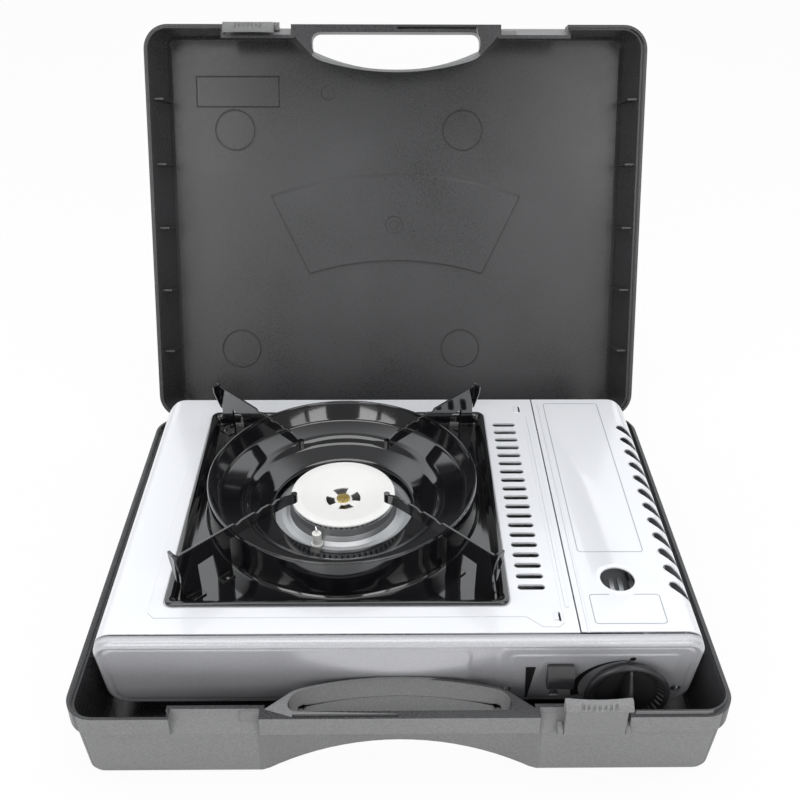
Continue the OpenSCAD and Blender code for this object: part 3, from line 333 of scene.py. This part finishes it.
for name, node in nodes.items():
    if name in slotOf:
        node.data.materials.clear()
        node.data.materials.append(materials[slotMaterial[slotOf[name]]])
nodes["spill_flange"].data.materials[0] = materials["galvanised"]
print("materials:", len(materials))


def addObject(name, mesh, body, finishes):
    obj = bpy.data.objects.new(name, mesh)
    bpy.context.scene.collection.objects.link(obj)
    for one in finishes:
        mesh.materials.append(materials[one])
    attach(obj, body)
    return obj


def shadeByAngle(mesh, angle):
    # smooth all over, except at edges that turn by more than the angle in degrees
    mesh.shade_smooth()
    mesh.set_sharp_from_angle(angle=math.radians(angle))


def addSheetWall(obj, thick):
    # the surface is the sheet's outer face, and its wall lies behind it
    wall = obj.modifiers.new("sheet", "SOLIDIFY")
    wall.thickness, wall.offset = thick * mm, -1


# weld is the merging grid in metres, flat the turn in degrees below which faces are joined, and a bevelled
# edge is at least room times its bevel's width long
softening = {"weld": 2e-6, "flat": 0.6, "room": 2.2, "segments": 2}


def mergedMesh(source, name, grid):
    # a node's loose triangles with the points that share a cell of the grid made one
    points = np.empty(len(source.vertices) * 3, np.float32)
    source.vertices.foreach_get("co", points)
    cells = np.round(points.reshape(-1, 3) / grid).astype(np.int64)
    cells, order = np.unique(cells, axis=0, return_inverse=True)
    corners = np.empty(len(source.loops), np.int32)
    source.loops.foreach_get("vertex_index", corners)
    faces = order.reshape(-1)[corners].reshape(-1, 3)
    whole = (faces[:, 0] != faces[:, 1]) & (faces[:, 1] != faces[:, 2]) & (faces[:, 2] != faces[:, 0])
    mesh = bpy.data.meshes.new(name)
    mesh.from_pydata((cells * grid).tolist(), [], faces[whole].tolist())
    return mesh


def softened(nodeName, width, angle=38, finishes=None, sideOf=None):
    # a merged copy of a node's mesh, flat regions joined, its edges rounded by a small bevel
    mesh = mergedMesh(nodes[nodeName].data, nodeName + "_soft", softening["weld"])
    work = bmesh.new()
    work.from_mesh(mesh)
    flat = math.radians(softening["flat"])
    bmesh.ops.dissolve_limit(work, angle_limit=flat, verts=work.verts, edges=work.edges)
    # only edges with room for the bevel at both ends get one
    weight = work.edges.layers.float.new("bevel_weight_edge")
    sharp = [e for e in work.edges if len(e.link_faces) == 2 and e.calc_face_angle(0) > math.radians(angle)]
    crowded = {v for e in sharp if e.calc_length() < softening["room"] * width * mm for v in e.verts}
    for e in sharp:
        e[weight] = float(not crowded.intersection(e.verts))
    work.to_mesh(mesh)
    work.free()
    shadeByAngle(mesh, angle)
    slot = slotOf[nodeName]
    obj = addObject(nodeName + "_soft", mesh, bodyOf[nodeName], finishes or [slotMaterial[slot]])
    if sideOf is not None:
        centres = np.array([face.center for face in mesh.polygons])
        normals = np.array([face.normal for face in mesh.polygons])
        mesh.polygons.foreach_set("material_index", sideOf(centres / mm, normals).astype(np.int32))
    if width:
        bevel = obj.modifiers.new("edges", "BEVEL")
        bevel.width = width * mm
        bevel.segments = softening["segments"]
        bevel.limit_method = "WEIGHT"
        bevel.harden_normals = True
        bevel.use_clamp_overlap = False
    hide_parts(nodeName)


def gridMesh(name, points, closed=False, keep=None, flip=False):
    # rows by columns of points joined by quads: closed joins the last column to the first, keep says which
    # cells are there, flip turns them over
    rows, columns = points.shape[:2]
    r, c = np.meshgrid(np.arange(rows - 1), np.arange(columns - (not closed)), indexing="ij")
    after = (c + 1) % columns
    quads = np.stack([r * columns + c, r * columns + after, (r + 1) * columns + after, (r + 1) * columns + c],
                     axis=-1)
    quads = quads[keep] if keep is not None else quads.reshape(-1, 4)
    if flip:
        quads = quads[:, ::-1]
    mesh = bpy.data.meshes.new(name)
    mesh.from_pydata((points.reshape(-1, 3) * mm).tolist(), [], quads.tolist())
    return mesh


def joinedMesh(name, parts):
    work = bmesh.new()
    for part in parts:
        work.from_mesh(part)
        bpy.data.meshes.remove(part)
    mesh = bpy.data.meshes.new(name)
    work.to_mesh(mesh)
    work.free()
    return mesh


def weldedMesh(mesh, distance=0.001, outward=False):
    # points within distance are one, and points that no face uses go
    work = bmesh.new()
    work.from_mesh(mesh)
    bmesh.ops.remove_doubles(work, verts=work.verts, dist=distance * mm)
    bmesh.ops.delete(work, geom=[v for v in work.verts if not v.link_faces], context="VERTS")
    if outward:
        bmesh.ops.recalc_face_normals(work, faces=work.faces)
    work.to_mesh(mesh)
    work.free()
    return mesh


def roundedLine(points, reach, steps, share=0.48):
    # each inner corner gives way to a parabola that starts and ends up to reach before and after it, and no
    # further off than a share of the shorter side
    points = np.asarray(points, float)
    before, at, after = points[:-2], points[1:-1], points[2:]
    lenIn, lenOut = np.linalg.norm(at - before, axis=1), np.linalg.norm(after - at, axis=1)
    cut = np.minimum(reach, share * np.minimum(lenIn, lenOut))
    start = at + (before - at) * (cut / lenIn)[:, None]
    stop = at + (after - at) * (cut / lenOut)[:, None]
    t = np.linspace(0, 1, steps)[None, :, None]
    curve = (1 - t) ** 2 * start[:, None] + 2 * t * (1 - t) * at[:, None] + t ** 2 * stop[:, None]
    return np.vstack([points[:1], curve.reshape(-1, points.shape[1]), points[-1:]])


def stepUp(x, low, high):
    # 0 below low, 1 above high, an s-curve between
    t = np.clip((x - low) / (high - low), 0, 1)
    return t * t * (3 - 2 * t)


def fullTurn(columns):
    # directions once round, as a row
    return np.linspace(0, 2 * math.pi, columns, endpoint=False)[None, :]


# one moulded half as it lies at the bottom; rim and floor are how far in the cavity starts, and the rest says
# where outside faces reach further in and which way these face
case = {
    "width": 374, "depth": 297, "half": 46, "lean": 21.6, "rim": 3.0, "floor": 2.0,
    "flank": {"inset": 6.3, "drop": 8, "outward": -0.2},
    "recess": {"reach": 12, "halfWidth": 130, "frontward": -0.3},
    "grip": {"reach": 44, "halfWidth": 128, "topHalfWidth": 84, "drop": 3, "upward": 0.7, "frontward": -0.2,
             "downward": -0.15},
}


def lidAsBase(points, normals):
    # the open lid's faces shut about the hinge line and turned over, so that they lie as the base's do
    lean = math.radians(-90 - case["lean"])
    shut = np.array([[1, 0, 0], [0, math.cos(lean), math.sin(lean)], [0, -math.sin(lean), math.cos(lean)]])
    over = np.diag([-1.0, 1.0, -1.0])
    hinge = np.array([0, case["depth"] / 2, case["half"]])
    corner = np.array([0, -case["depth"] / 2, case["half"]])
    return ((points - hinge) @ shut.T - corner) @ over, normals @ shut.T @ over


def baseSide(points, normals):
    # 0 for the outside's faces, 1 for the cavity's, which take the darker copy of the case plastic that paints
    # the cavity's shade
    x, y, z = points.T
    normalX, normalY, normalZ = normals.T
    front, rim = -case["depth"] / 2, case["half"]
    grip, recess, flank = case["grip"], case["recess"], case["flank"]
    insetX, insetY = case["width"] / 2 - np.abs(x), case["depth"] / 2 - np.abs(y)
    cavity = (np.minimum(insetX, insetY) > case["rim"]) & (z > case["floor"])
    gripTop = (np.abs(x) < grip["topHalfWidth"]) & (normalZ > grip["upward"]) & (z > rim - grip["drop"])
    onGrip = (y < front + grip["reach"]) & (np.abs(x) < grip["halfWidth"])
    onGrip &= gripTop | (normalY < grip["frontward"]) | (normalZ < grip["downward"])
    onRecess = (y < front + recess["reach"]) & (np.abs(x) < recess["halfWidth"])
    onRecess &= normalY < recess["frontward"]
    onFlank = (insetX < flank["inset"]) & (z < rim - flank["drop"])
    onFlank &= normalX * np.sign(x) > flank["outward"]
    return cavity & ~onGrip & ~onRecess & ~onFlank


def lidSide(points, normals):
    return baseSide(*lidAsBase(points, normals))


# cavity faces get the darker painted-shade copy of the plastic, outside faces keep the plastic's own colour
for half, sideOf in (("case_base", baseSide), ("case_lid", lidSide)):
    softened(half, 0.0, angle=20, finishes=("caseOuter", "caseInsideShaded"), sideOf=sideOf)
for latch in ("base_latch", "lid_latch"):
    softened(latch, 0.45)
print("case dressed")

bevels = {
    "body_shell": 0.0, "cartridge_cover": 0.0, "cartridge_lever": 0.8, "support_front_left": 0.35,
    "support_front_right": 0.35, "support_rear_left": 0.35, "support_rear_right": 0.35,
}
for name, width in bevels.items():
    softened(name, width)

panel = {
    # outline on the raked face, and how the face leans on the body
    "width": 343.0, "low": 16.0, "high": 80.0, "lowRadius": 14.0, "topRadius": 11.0,
    "top": 80.0, "front": 125.4, "rake": 12.3,
    # rim bead, the groove inside it, and how far the sheet is drawn back behind its front
    "bead": 3.4, "groove": {"deep": 0.95, "start": 0.8, "ease": 1.6}, "nose": 6.5, "thick": 1.1,
    # each pad: left, right, bottom, top, corner radius, rise, fillet
    "pads": ((-166.4, 41.0, 20.5, 76.5, 9.0, 0.95, 2.2), (54.5, 166.5, 20.5, 76.5, 8.0, 0.95, 2.0),
             (62.5, 158.0, 22.0, 69.6, 4.0, 0.5, 1.3)),
    "padEase": 0.3, "smooth": 50,
    "scoop": {"at": (-4.8, 171.6), "radius": 105.0, "slope": 0.06, "round": 0.6, "fade": 3.0},
    # the lever's slot: left, right, bottom, top
    "slot": (88.7, 93.3, 25.0, 58.5), "slotMargin": 5.0,
    "rows": {"corner": 14, "straight": 84, "fine": 30},
    # columns are shares of the half width, closer together over the outer share
    "columns": {"middle": 300, "edge": 22, "edgeShare": 0.075, "slotRoom": 0.0018},
}


def insetOf(x, up, box, lowRadius, topRadius):
    # distance inside a rounded rectangle, negative outside it
    left, right, bottom, top = box
    radius = np.where(up > (bottom + top) / 2, topRadius, lowRadius)
    pastX = np.abs(x - (left + right) / 2) - (right - left) / 2 + radius
    pastUp = np.abs(up - (bottom + top) / 2) - (top - bottom) / 2 + radius
    outside = np.hypot(np.maximum(pastX, 0), np.maximum(pastUp, 0))
    return radius - outside - np.minimum(np.maximum(pastX, pastUp), 0)


def panelHeight(x, up, p):
    # how far the pressed face stands out: a round rim bead, a groove inside it, pads that step up from the
    # groove, and a finger scoop that falls away inside a circle on the left pad
    outline = (-p["width"] / 2, p["width"] / 2, p["low"], p["high"])
    inset = insetOf(x, up, outline, p["lowRadius"], p["topRadius"])
    bead, groove, scoop = p["bead"], p["groove"], p["scoop"]
    height = np.sqrt(np.maximum(bead ** 2 - (bead - np.clip(inset, 0, bead)) ** 2, 0)) - bead
    height -= groove["deep"] * stepUp(inset, bead * groove["start"], bead + groove["ease"])
    for *box, radius, rise, fillet in p["pads"]:
        height += rise * stepUp(insetOf(x, up, box, radius, radius), -p["padEase"], fillet)
    within = np.maximum(scoop["radius"] - np.hypot(x - scoop["at"][0], up - scoop["at"][1]), 0)
    *box, radius = p["pads"][0][:5]
    onPad = stepUp(insetOf(x, up, box, radius, radius), 0, scoop["fade"])
    fall = np.sqrt(within ** 2 + scoop["round"]) - math.sqrt(scoop["round"])
    return height - scoop["slope"] * fall * onPad


def panelPoint(x, up, p, lift=0.0):
    # the height stands square to a plane that leans back by the rake from the body's top front edge
    out = panelHeight(x, up, p) + lift
    tilt = math.radians(p["rake"])
    down = up - p["top"] / math.cos(tilt)
    return np.stack([x, -p["front"] - out * math.cos(tilt) - down * math.sin(tilt),
                     p["top"] - out * math.sin(tilt) + down * math.cos(tilt)], axis=-1)


def panelRows(p):
    # heights up the face, closer together at the round corners, and how far those corners draw each row in
    rows = p["rows"]
    fall = 1 - np.cos(np.linspace(0, math.pi / 2, rows["corner"]))
    lowEnd, topEnd = p["low"] + p["lowRadius"], p["high"] - p["topRadius"]
    up = np.sort(np.concatenate([
        p["low"] + p["lowRadius"] * fall, np.linspace(lowEnd, topEnd, rows["straight"])[1:-1],
        p["high"] - p["topRadius"] * fall, np.linspace(topEnd, p["high"], rows["fine"])[1:-1]]))
    radius = np.where(up > (p["low"] + p["high"]) / 2, p["topRadius"], p["lowRadius"])
    past = np.maximum(np.maximum(lowEnd - up, up - topEnd), 0)
    return up, radius - np.sqrt(np.maximum(radius ** 2 - past ** 2, 0))


def panelColumns(p):
    # even shares of the half width, closer together near both ends, with the slot's two sides among them
    columns = p["columns"]
    edge = 1 - (1 - np.cos(np.linspace(0, math.pi / 2, columns["edge"]))) * columns["edgeShare"]
    middle = np.linspace(-edge[-1], edge[-1], columns["middle"])
    sides = np.array(p["slot"][:2]) / (p["width"] / 2)
    middle = middle[np.min(np.abs(middle[:, None] - sides), axis=1) > columns["slotRoom"]]
    return np.unique(np.round(np.concatenate([middle, edge, -edge, sides]), 6))


def drawEdgeBack(mesh, p):
    # the outline's edge, and not the slot's, goes back square to the face to the nose's depth
    left, right, bottom, top = p["slot"]
    margin, tilt = p["slotMargin"], math.radians(p["rake"])
    back = np.array([0, math.cos(tilt), math.sin(tilt)]) * (p["nose"] - p["bead"]) * mm

    def onSlot(edge):
        x, z = edge.verts[0].co.x / mm, edge.verts[0].co.z / mm
        return left - margin < x < right + margin and bottom - margin < z < top + margin

    work = bmesh.new()
    work.from_mesh(mesh)
    rim = [edge for edge in work.edges if edge.is_boundary and not onSlot(edge)]
    moved = bmesh.ops.extrude_edge_only(work, edges=rim)["geom"]
    bmesh.ops.translate(work, vec=back, verts=[v for v in moved if isinstance(v, bmesh.types.BMVert)])
    bmesh.ops.recalc_face_normals(work, faces=work.faces)
    work.to_mesh(mesh)
    work.free()


def buildPanel(p):
    # a grid of rows up the face and columns across the outline's width at each row, less the slot's cells
    up, drawnIn = panelRows(p)
    x = panelColumns(p)[None, :] * (p["width"] / 2 - drawnIn)[:, None]
    up = np.broadcast_to(up[:, None], x.shape)
    middleX, middleUp = (x[:-1, :-1] + x[1:, 1:]) / 2, (up[:-1, :-1] + up[1:, 1:]) / 2
    left, right, bottom, top = p["slot"]
    inSlot = (middleX > left) & (middleX < right) & (middleUp > bottom) & (middleUp < top)
    mesh = weldedMesh(gridMesh("front_panel_pressed", panelPoint(x, up, p), keep=~inSlot))
    drawEdgeBack(mesh, p)
    shadeByAngle(mesh, p["smooth"])
    obj = addObject("front_panel_pressed", mesh, "stove", ["silverEnamel"])
    addSheetWall(obj, p["thick"])
    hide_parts("front_panel")


buildPanel(panel)

# printed marks on the pressed face; a pair is a mark's value at its start and at its end
prints = {
    "lift": 0.06, "weld": 0.002, "steps": 4,
    "wedge": {"left": (71.6, 74.6), "right": (77.5, 75.1), "up": (57.0, 18.3214), "rows": 24},
    "crescent": {"centre": (131.9, 35.6), "inner": 27.6, "outer": 32.0, "tip": 0.5, "taper": 0.8,
                 "turn": (200.0, 97.0), "columns": 60},
    "dot": {"centre": (131.4, 65.0), "radius": (0.02, 1.9), "columns": 28},
}


def between(pair, t):
    return pair[0] + (pair[1] - pair[0]) * t


def wedgeGrid(w, steps):
    # the left and right sides run down to the point, with even steps between them
    down = np.linspace(0, 1, w["rows"])[:, None]
    left, right = between(w["left"], down), between(w["right"], down)
    x = left + (right - left) * np.linspace(0, 1, steps)[None, :]
    return x, np.broadcast_to(between(w["up"], down), x.shape)


def crescentGrid(c, steps):
    # an arc whose inner side creeps outwards and whose width falls by a power from the root to the tip
    along = np.linspace(0, 1, c["columns"])[None, :]
    turn = np.radians(np.linspace(*c["turn"], c["columns"]))[None, :]
    thick = (c["outer"] - c["inner"]) * (1 - along) ** c["taper"] + c["tip"]
    radius = c["inner"] + c["tip"] * along + thick * np.linspace(0, 1, steps)[:, None]
    return c["centre"][0] + radius * np.cos(turn), c["centre"][1] + radius * np.sin(turn)


def dotGrid(d, steps):
    # rings round a centre
    turn = np.linspace(0, 2 * math.pi, d["columns"] + 1)[None, :]
    radius = np.linspace(*d["radius"], steps)[:, None]
    return d["centre"][0] + radius * np.cos(turn), d["centre"][1] + radius * np.sin(turn)


def buildPrints(p):
    # patches of ink laid just over the pressed face
    steps = p["steps"]
    grids = (wedgeGrid(p["wedge"], steps), crescentGrid(p["crescent"], steps), dotGrid(p["dot"], steps))
    patches = [gridMesh("mark", panelPoint(x, up, panel, p["lift"]), flip=True) for x, up in grids]
    mesh = weldedMesh(joinedMesh("control_marks", patches), p["weld"])
    addObject("control_marks", mesh, "stove", ["printBlack"])


buildPrints(prints)

labels = {
    "height": 80.06, "line": 0.5, "corner": 2.4, "columns": 40,
    # each bare place: left, right, front, rear
    "places": ((109.5, 150.2, -51.0, 116.0), (110.2, 151.6, -111.4, -87.6)),
}


def buildLabels(p):
    # thin printed outlines of the cover's two bare places: a quarter circle at each corner, at two radii
    turn = fullTurn(p["columns"]) + math.pi / p["columns"]
    radius = np.array([[p["corner"]], [p["corner"] - p["line"]]])
    rings = []
    for left, right, front, rear in p["places"]:
        halfX, halfY = (right - left) / 2 - p["corner"], (rear - front) / 2 - p["corner"]
        x = (left + right) / 2 + np.sign(np.cos(turn)) * halfX + radius * np.cos(turn)
        y = (front + rear) / 2 + np.sign(np.sin(turn)) * halfY + radius * np.sin(turn)
        points = np.stack([x, y, np.full(x.shape, p["height"])], axis=-1)
        rings.append(gridMesh("label_place", points, closed=True, flip=True))
    addObject("label_outlines", joinedMesh("label_outlines", rings), "cover", ["printGrey"])


buildLabels(labels)

knob = {
    "at": (129.5, 39.5), "back": -123.06, "pole": 0.01, "weld": 0.03, "smooth": 45,
    # radius and height of the turned ring and dish, from the skirt inwards
    "profile": [(21.6, 0.0), (22.4, 0.8), (23.9, 3.0), (24.6, 4.4), (24.6, 5.2), (23.6, 6.3), (22.5, 6.6),
                (21.3, 6.1), (20.4, 5.0), (18.2, 2.6), (16.8, 1.9), (4.0, 1.4), (0.4, 1.4)],
    "round": 0.8,
    # ribs between two radii: their close rows go past these by margin, and no other row is within gap of them
    "ribs": {"count": 36, "columns": 8, "low": 17.6, "high": 21.2, "rise": 0.85, "share": 0.55, "easeIn": 0.5,
             "easeOut": 0.6, "rows": 9, "margin": 0.2, "gap": 0.1},
    # grip fin: half its width and its height, what each loses towards the pointer's end, and at which share of
    # the length that starts; heel and tip are where both ends grow to the whole from a part of each
    "fin": {"low": -22.6, "high": 23.4, "rows": 40, "halfWidth": 3.3, "taper": 2.0, "taperFrom": 0.45,
            "foot": 1.2, "height": 13.3, "fall": 0.5, "fallFrom": 0.62, "heel": (-0.02, 0.07),
            "tip": (0.93, 1.02), "endWidth": (0.35, 1.0), "endHeight": (0.25, 1.0), "round": 0.12,
            "section": [(-1.15, 0.0), (-0.95, 0.55), (-0.62, 0.94), (-0.3, 1.0), (0.3, 1.0), (0.62, 0.94),
                        (0.95, 0.55), (1.15, 0.0)]},
}


def dialMesh(k):
    # the profile turned about the axle, lifted in short radial ribs between two radii
    ribs = k["ribs"]
    line = roundedLine(k["profile"], k["round"], 4)
    first, last = ribs["low"] - ribs["margin"], ribs["high"] + ribs["margin"]
    extra = np.linspace(first, last, ribs["rows"])
    heights = np.interp(extra, line[::-1, 0], line[::-1, 1])
    outer, inner = line[line[:, 0] > last + ribs["gap"]], line[line[:, 0] < first - ribs["gap"]]
    line = np.vstack([[(k["pole"], 0.0)], outer, np.column_stack([extra, heights])[::-1], inner,
                      [(k["pole"], line[-1, 1])]])
    turn = fullTurn(ribs["count"] * ribs["columns"])
    radius, height = line[:, :1], line[:, 1:]
    rise = ribs["rise"] * stepUp(np.cos(turn * ribs["count"]), 0.0, ribs["share"])
    rise = rise * stepUp(radius, ribs["low"], ribs["low"] + ribs["easeIn"])
    height = height + rise * (1 - stepUp(radius, ribs["high"] - ribs["easeOut"], ribs["high"]))
    points = np.stack([k["at"][0] + radius * np.cos(turn), k["back"] - height,
                       k["at"][1] + radius * np.sin(turn)], axis=-1)
    return gridMesh("knob_ring", points, closed=True)


def finMesh(k):
    # a round-topped section carried across the dial, narrower and lower towards the pointer, with closed ends
    fin = k["fin"]
    t = np.concatenate([[0], np.linspace(0, 1, fin["rows"] - 2), [1]])[:, None]
    ends = np.minimum(stepUp(t, *fin["heel"]), 1 - stepUp(t, *fin["tip"]))
    halfWidth = fin["halfWidth"] - fin["taper"] * stepUp(t, fin["taperFrom"], 1.0)
    halfWidth = halfWidth * between(fin["endWidth"], ends)
    halfWidth[[0, -1]] = k["pole"]
    crest = (1 - fin["fall"] * stepUp(t, fin["fallFrom"], 1.0)) * between(fin["endHeight"], ends)
    crest = fin["foot"] + (fin["height"] - fin["foot"]) * crest
    section = roundedLine(fin["section"], fin["round"], 4)
    along = np.broadcast_to(between((fin["low"], fin["high"]), t), (fin["rows"], len(section)))
    points = np.stack([k["at"][0] + halfWidth * section[:, 0], k["back"] - crest * section[:, 1],
                       k["at"][1] + along], axis=-1)
    return gridMesh("knob_grip", points, closed=True)


def buildKnob(k):
    mesh = weldedMesh(joinedMesh("knob_dial", (dialMesh(k), finMesh(k))), k["weld"], outward=True)
    shadeByAngle(mesh, k["smooth"])
    obj = addObject("knob_dial", mesh, "knob", ["blackPlastic"])
    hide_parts("control_knob")


buildKnob(knob)
print("stove body dressed")

tray = {
    "centre": (-35.8, 2.3), "columns": 4 * 80, "crowding": 1.9, "thick": 0.9, "round": 2.2, "smooth": 60,
    # half size, corner radius and height of each square or round line, from the rim inwards
    "profile": [
        (98.4, 4.6, 80.3), (99.5, 5.0, 80.6), (99.4, 5.0, 82.2), (98.0, 4.6, 82.7), (96.2, 4.4, 82.2),
        (94.6, 4.2, 80.6), (93.4, 4.0, 76.7), (91.6, 4.0, 76.5), (90.4, 30.0, 76.5), (89.6, 60.0, 76.5),
        (88.9, 88.9, 76.5), (87.4, 87.4, 78.6), (86.7, 86.7, 84.0), (86.5, 86.5, 99.6), (86.1, 86.1, 101.0),
        (84.9, 84.9, 101.0), (84.4, 84.4, 99.4), (79.5, 79.5, 88.4), (66.2, 66.2, 85.6), (63.4, 63.4, 84.2),
        (60.6, 60.6, 81.2), (47.8, 47.8, 77.2), (46.2, 46.2, 76.2), (46.0, 46.0, 74.2)],
}


def roundedSquareReach(turn, half, corner):
    # distance from the middle to a rounded square: the side where the ray meets it, or the corner's circle
    turn = np.abs((turn + math.pi / 4) % (math.pi / 2) - math.pi / 4)
    side = half / np.cos(turn)
    middle = half - corner
    along = middle * (np.cos(turn) + np.sin(turn))
    arc = along + np.sqrt(np.maximum(corner ** 2 - (middle * (np.cos(turn) - np.sin(turn))) ** 2, 0))
    return np.where(side * np.sin(turn) > middle, arc, side)


def trayTurns(t):
    # directions once round, crowded towards the four corners by a power
    share = np.linspace(-1, 1, t["columns"] // 4, endpoint=False)
    quarter = math.pi / 4 * (1 + np.sign(share) * np.abs(share) ** t["crowding"])
    return np.concatenate([quarter + i * math.pi / 2 for i in range(4)])[None, :]


def buildTray(t):
    # each line of the profile is a rounded square whose corners grow until it is a circle
    line = roundedLine(t["profile"], t["round"], 5)
    turn = trayTurns(t)
    reach = roundedSquareReach(turn, line[:, :1], line[:, 1:2])
    points = np.stack([t["centre"][0] + reach * np.cos(turn), t["centre"][1] + reach * np.sin(turn),
                       np.broadcast_to(line[:, 2:], reach.shape)], axis=-1)
    mesh = gridMesh("drip_tray_pressed", points, closed=True)
    shadeByAngle(mesh, t["smooth"])
    obj = addObject("drip_tray_pressed", mesh, "tray", ["blackEnamel"])
    addSheetWall(obj, t["thick"])
    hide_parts("drip_tray")


buildTray(tray)

cap = {
    "centre": (-35.8, 2.3), "columns": 144, "thick": 1.1, "round": 0.9, "smooth": 40,
    # radius and height, from the rim's foot inwards
    "profile": [(28.6, 83.0), (33.6, 83.2), (34.0, 84.0), (33.7, 84.9), (31.0, 84.85), (28.2, 84.7),
                (11.4, 80.2), (5.4, 79.6), (2.2, 79.6)],
    # openings between two radii, half their spread in degrees, and how far they are turned
    "openings": {"count": 4, "inner": 5.8, "outer": 11.2, "halfSpread": 27.0, "turn": 12.0, "rows": 5,
                 "margin": 0.3},
}


def buildCap(c):
    # rim band, shallow cone and flat hub turned about an upright axis, less the openings' cells
    gap = c["openings"]
    line = roundedLine(c["profile"], c["round"], 5)
    extra = np.linspace(gap["inner"], gap["outer"], gap["rows"])
    heights = np.interp(extra, line[::-1, 0], line[::-1, 1])
    band = line[line[:, 0] >= gap["outer"] + gap["margin"]]
    line = np.vstack([band, np.column_stack([extra, heights])[::-1], line[-1:]])
    radius, turn = line[:, :1], fullTurn(c["columns"])
    points = np.stack([c["centre"][0] + radius * np.cos(turn), c["centre"][1] + radius * np.sin(turn),
                       np.broadcast_to(line[:, 1:], (len(line), c["columns"]))], axis=-1)
    step = 360 / gap["count"]
    degrees = (np.arange(c["columns"]) + 0.5) * 360 / c["columns"] - gap["turn"]
    nearOpening = np.abs((degrees + step / 2) % step - step / 2) < gap["halfSpread"]
    middle = (line[:-1, :1] + line[1:, :1]) / 2
    keep = ~((middle > gap["inner"]) & (middle < gap["outer"]) & nearOpening)
    mesh = weldedMesh(gridMesh("burner_cap_dished", points, closed=True, keep=keep))
    shadeByAngle(mesh, c["smooth"])
    obj = addObject("burner_cap_dished", mesh, "stove", ["creamEnamel"])
    addSheetWall(obj, c["thick"])
    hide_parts("burner_cap")


buildCap(cap)
print("tray and burner dressed")
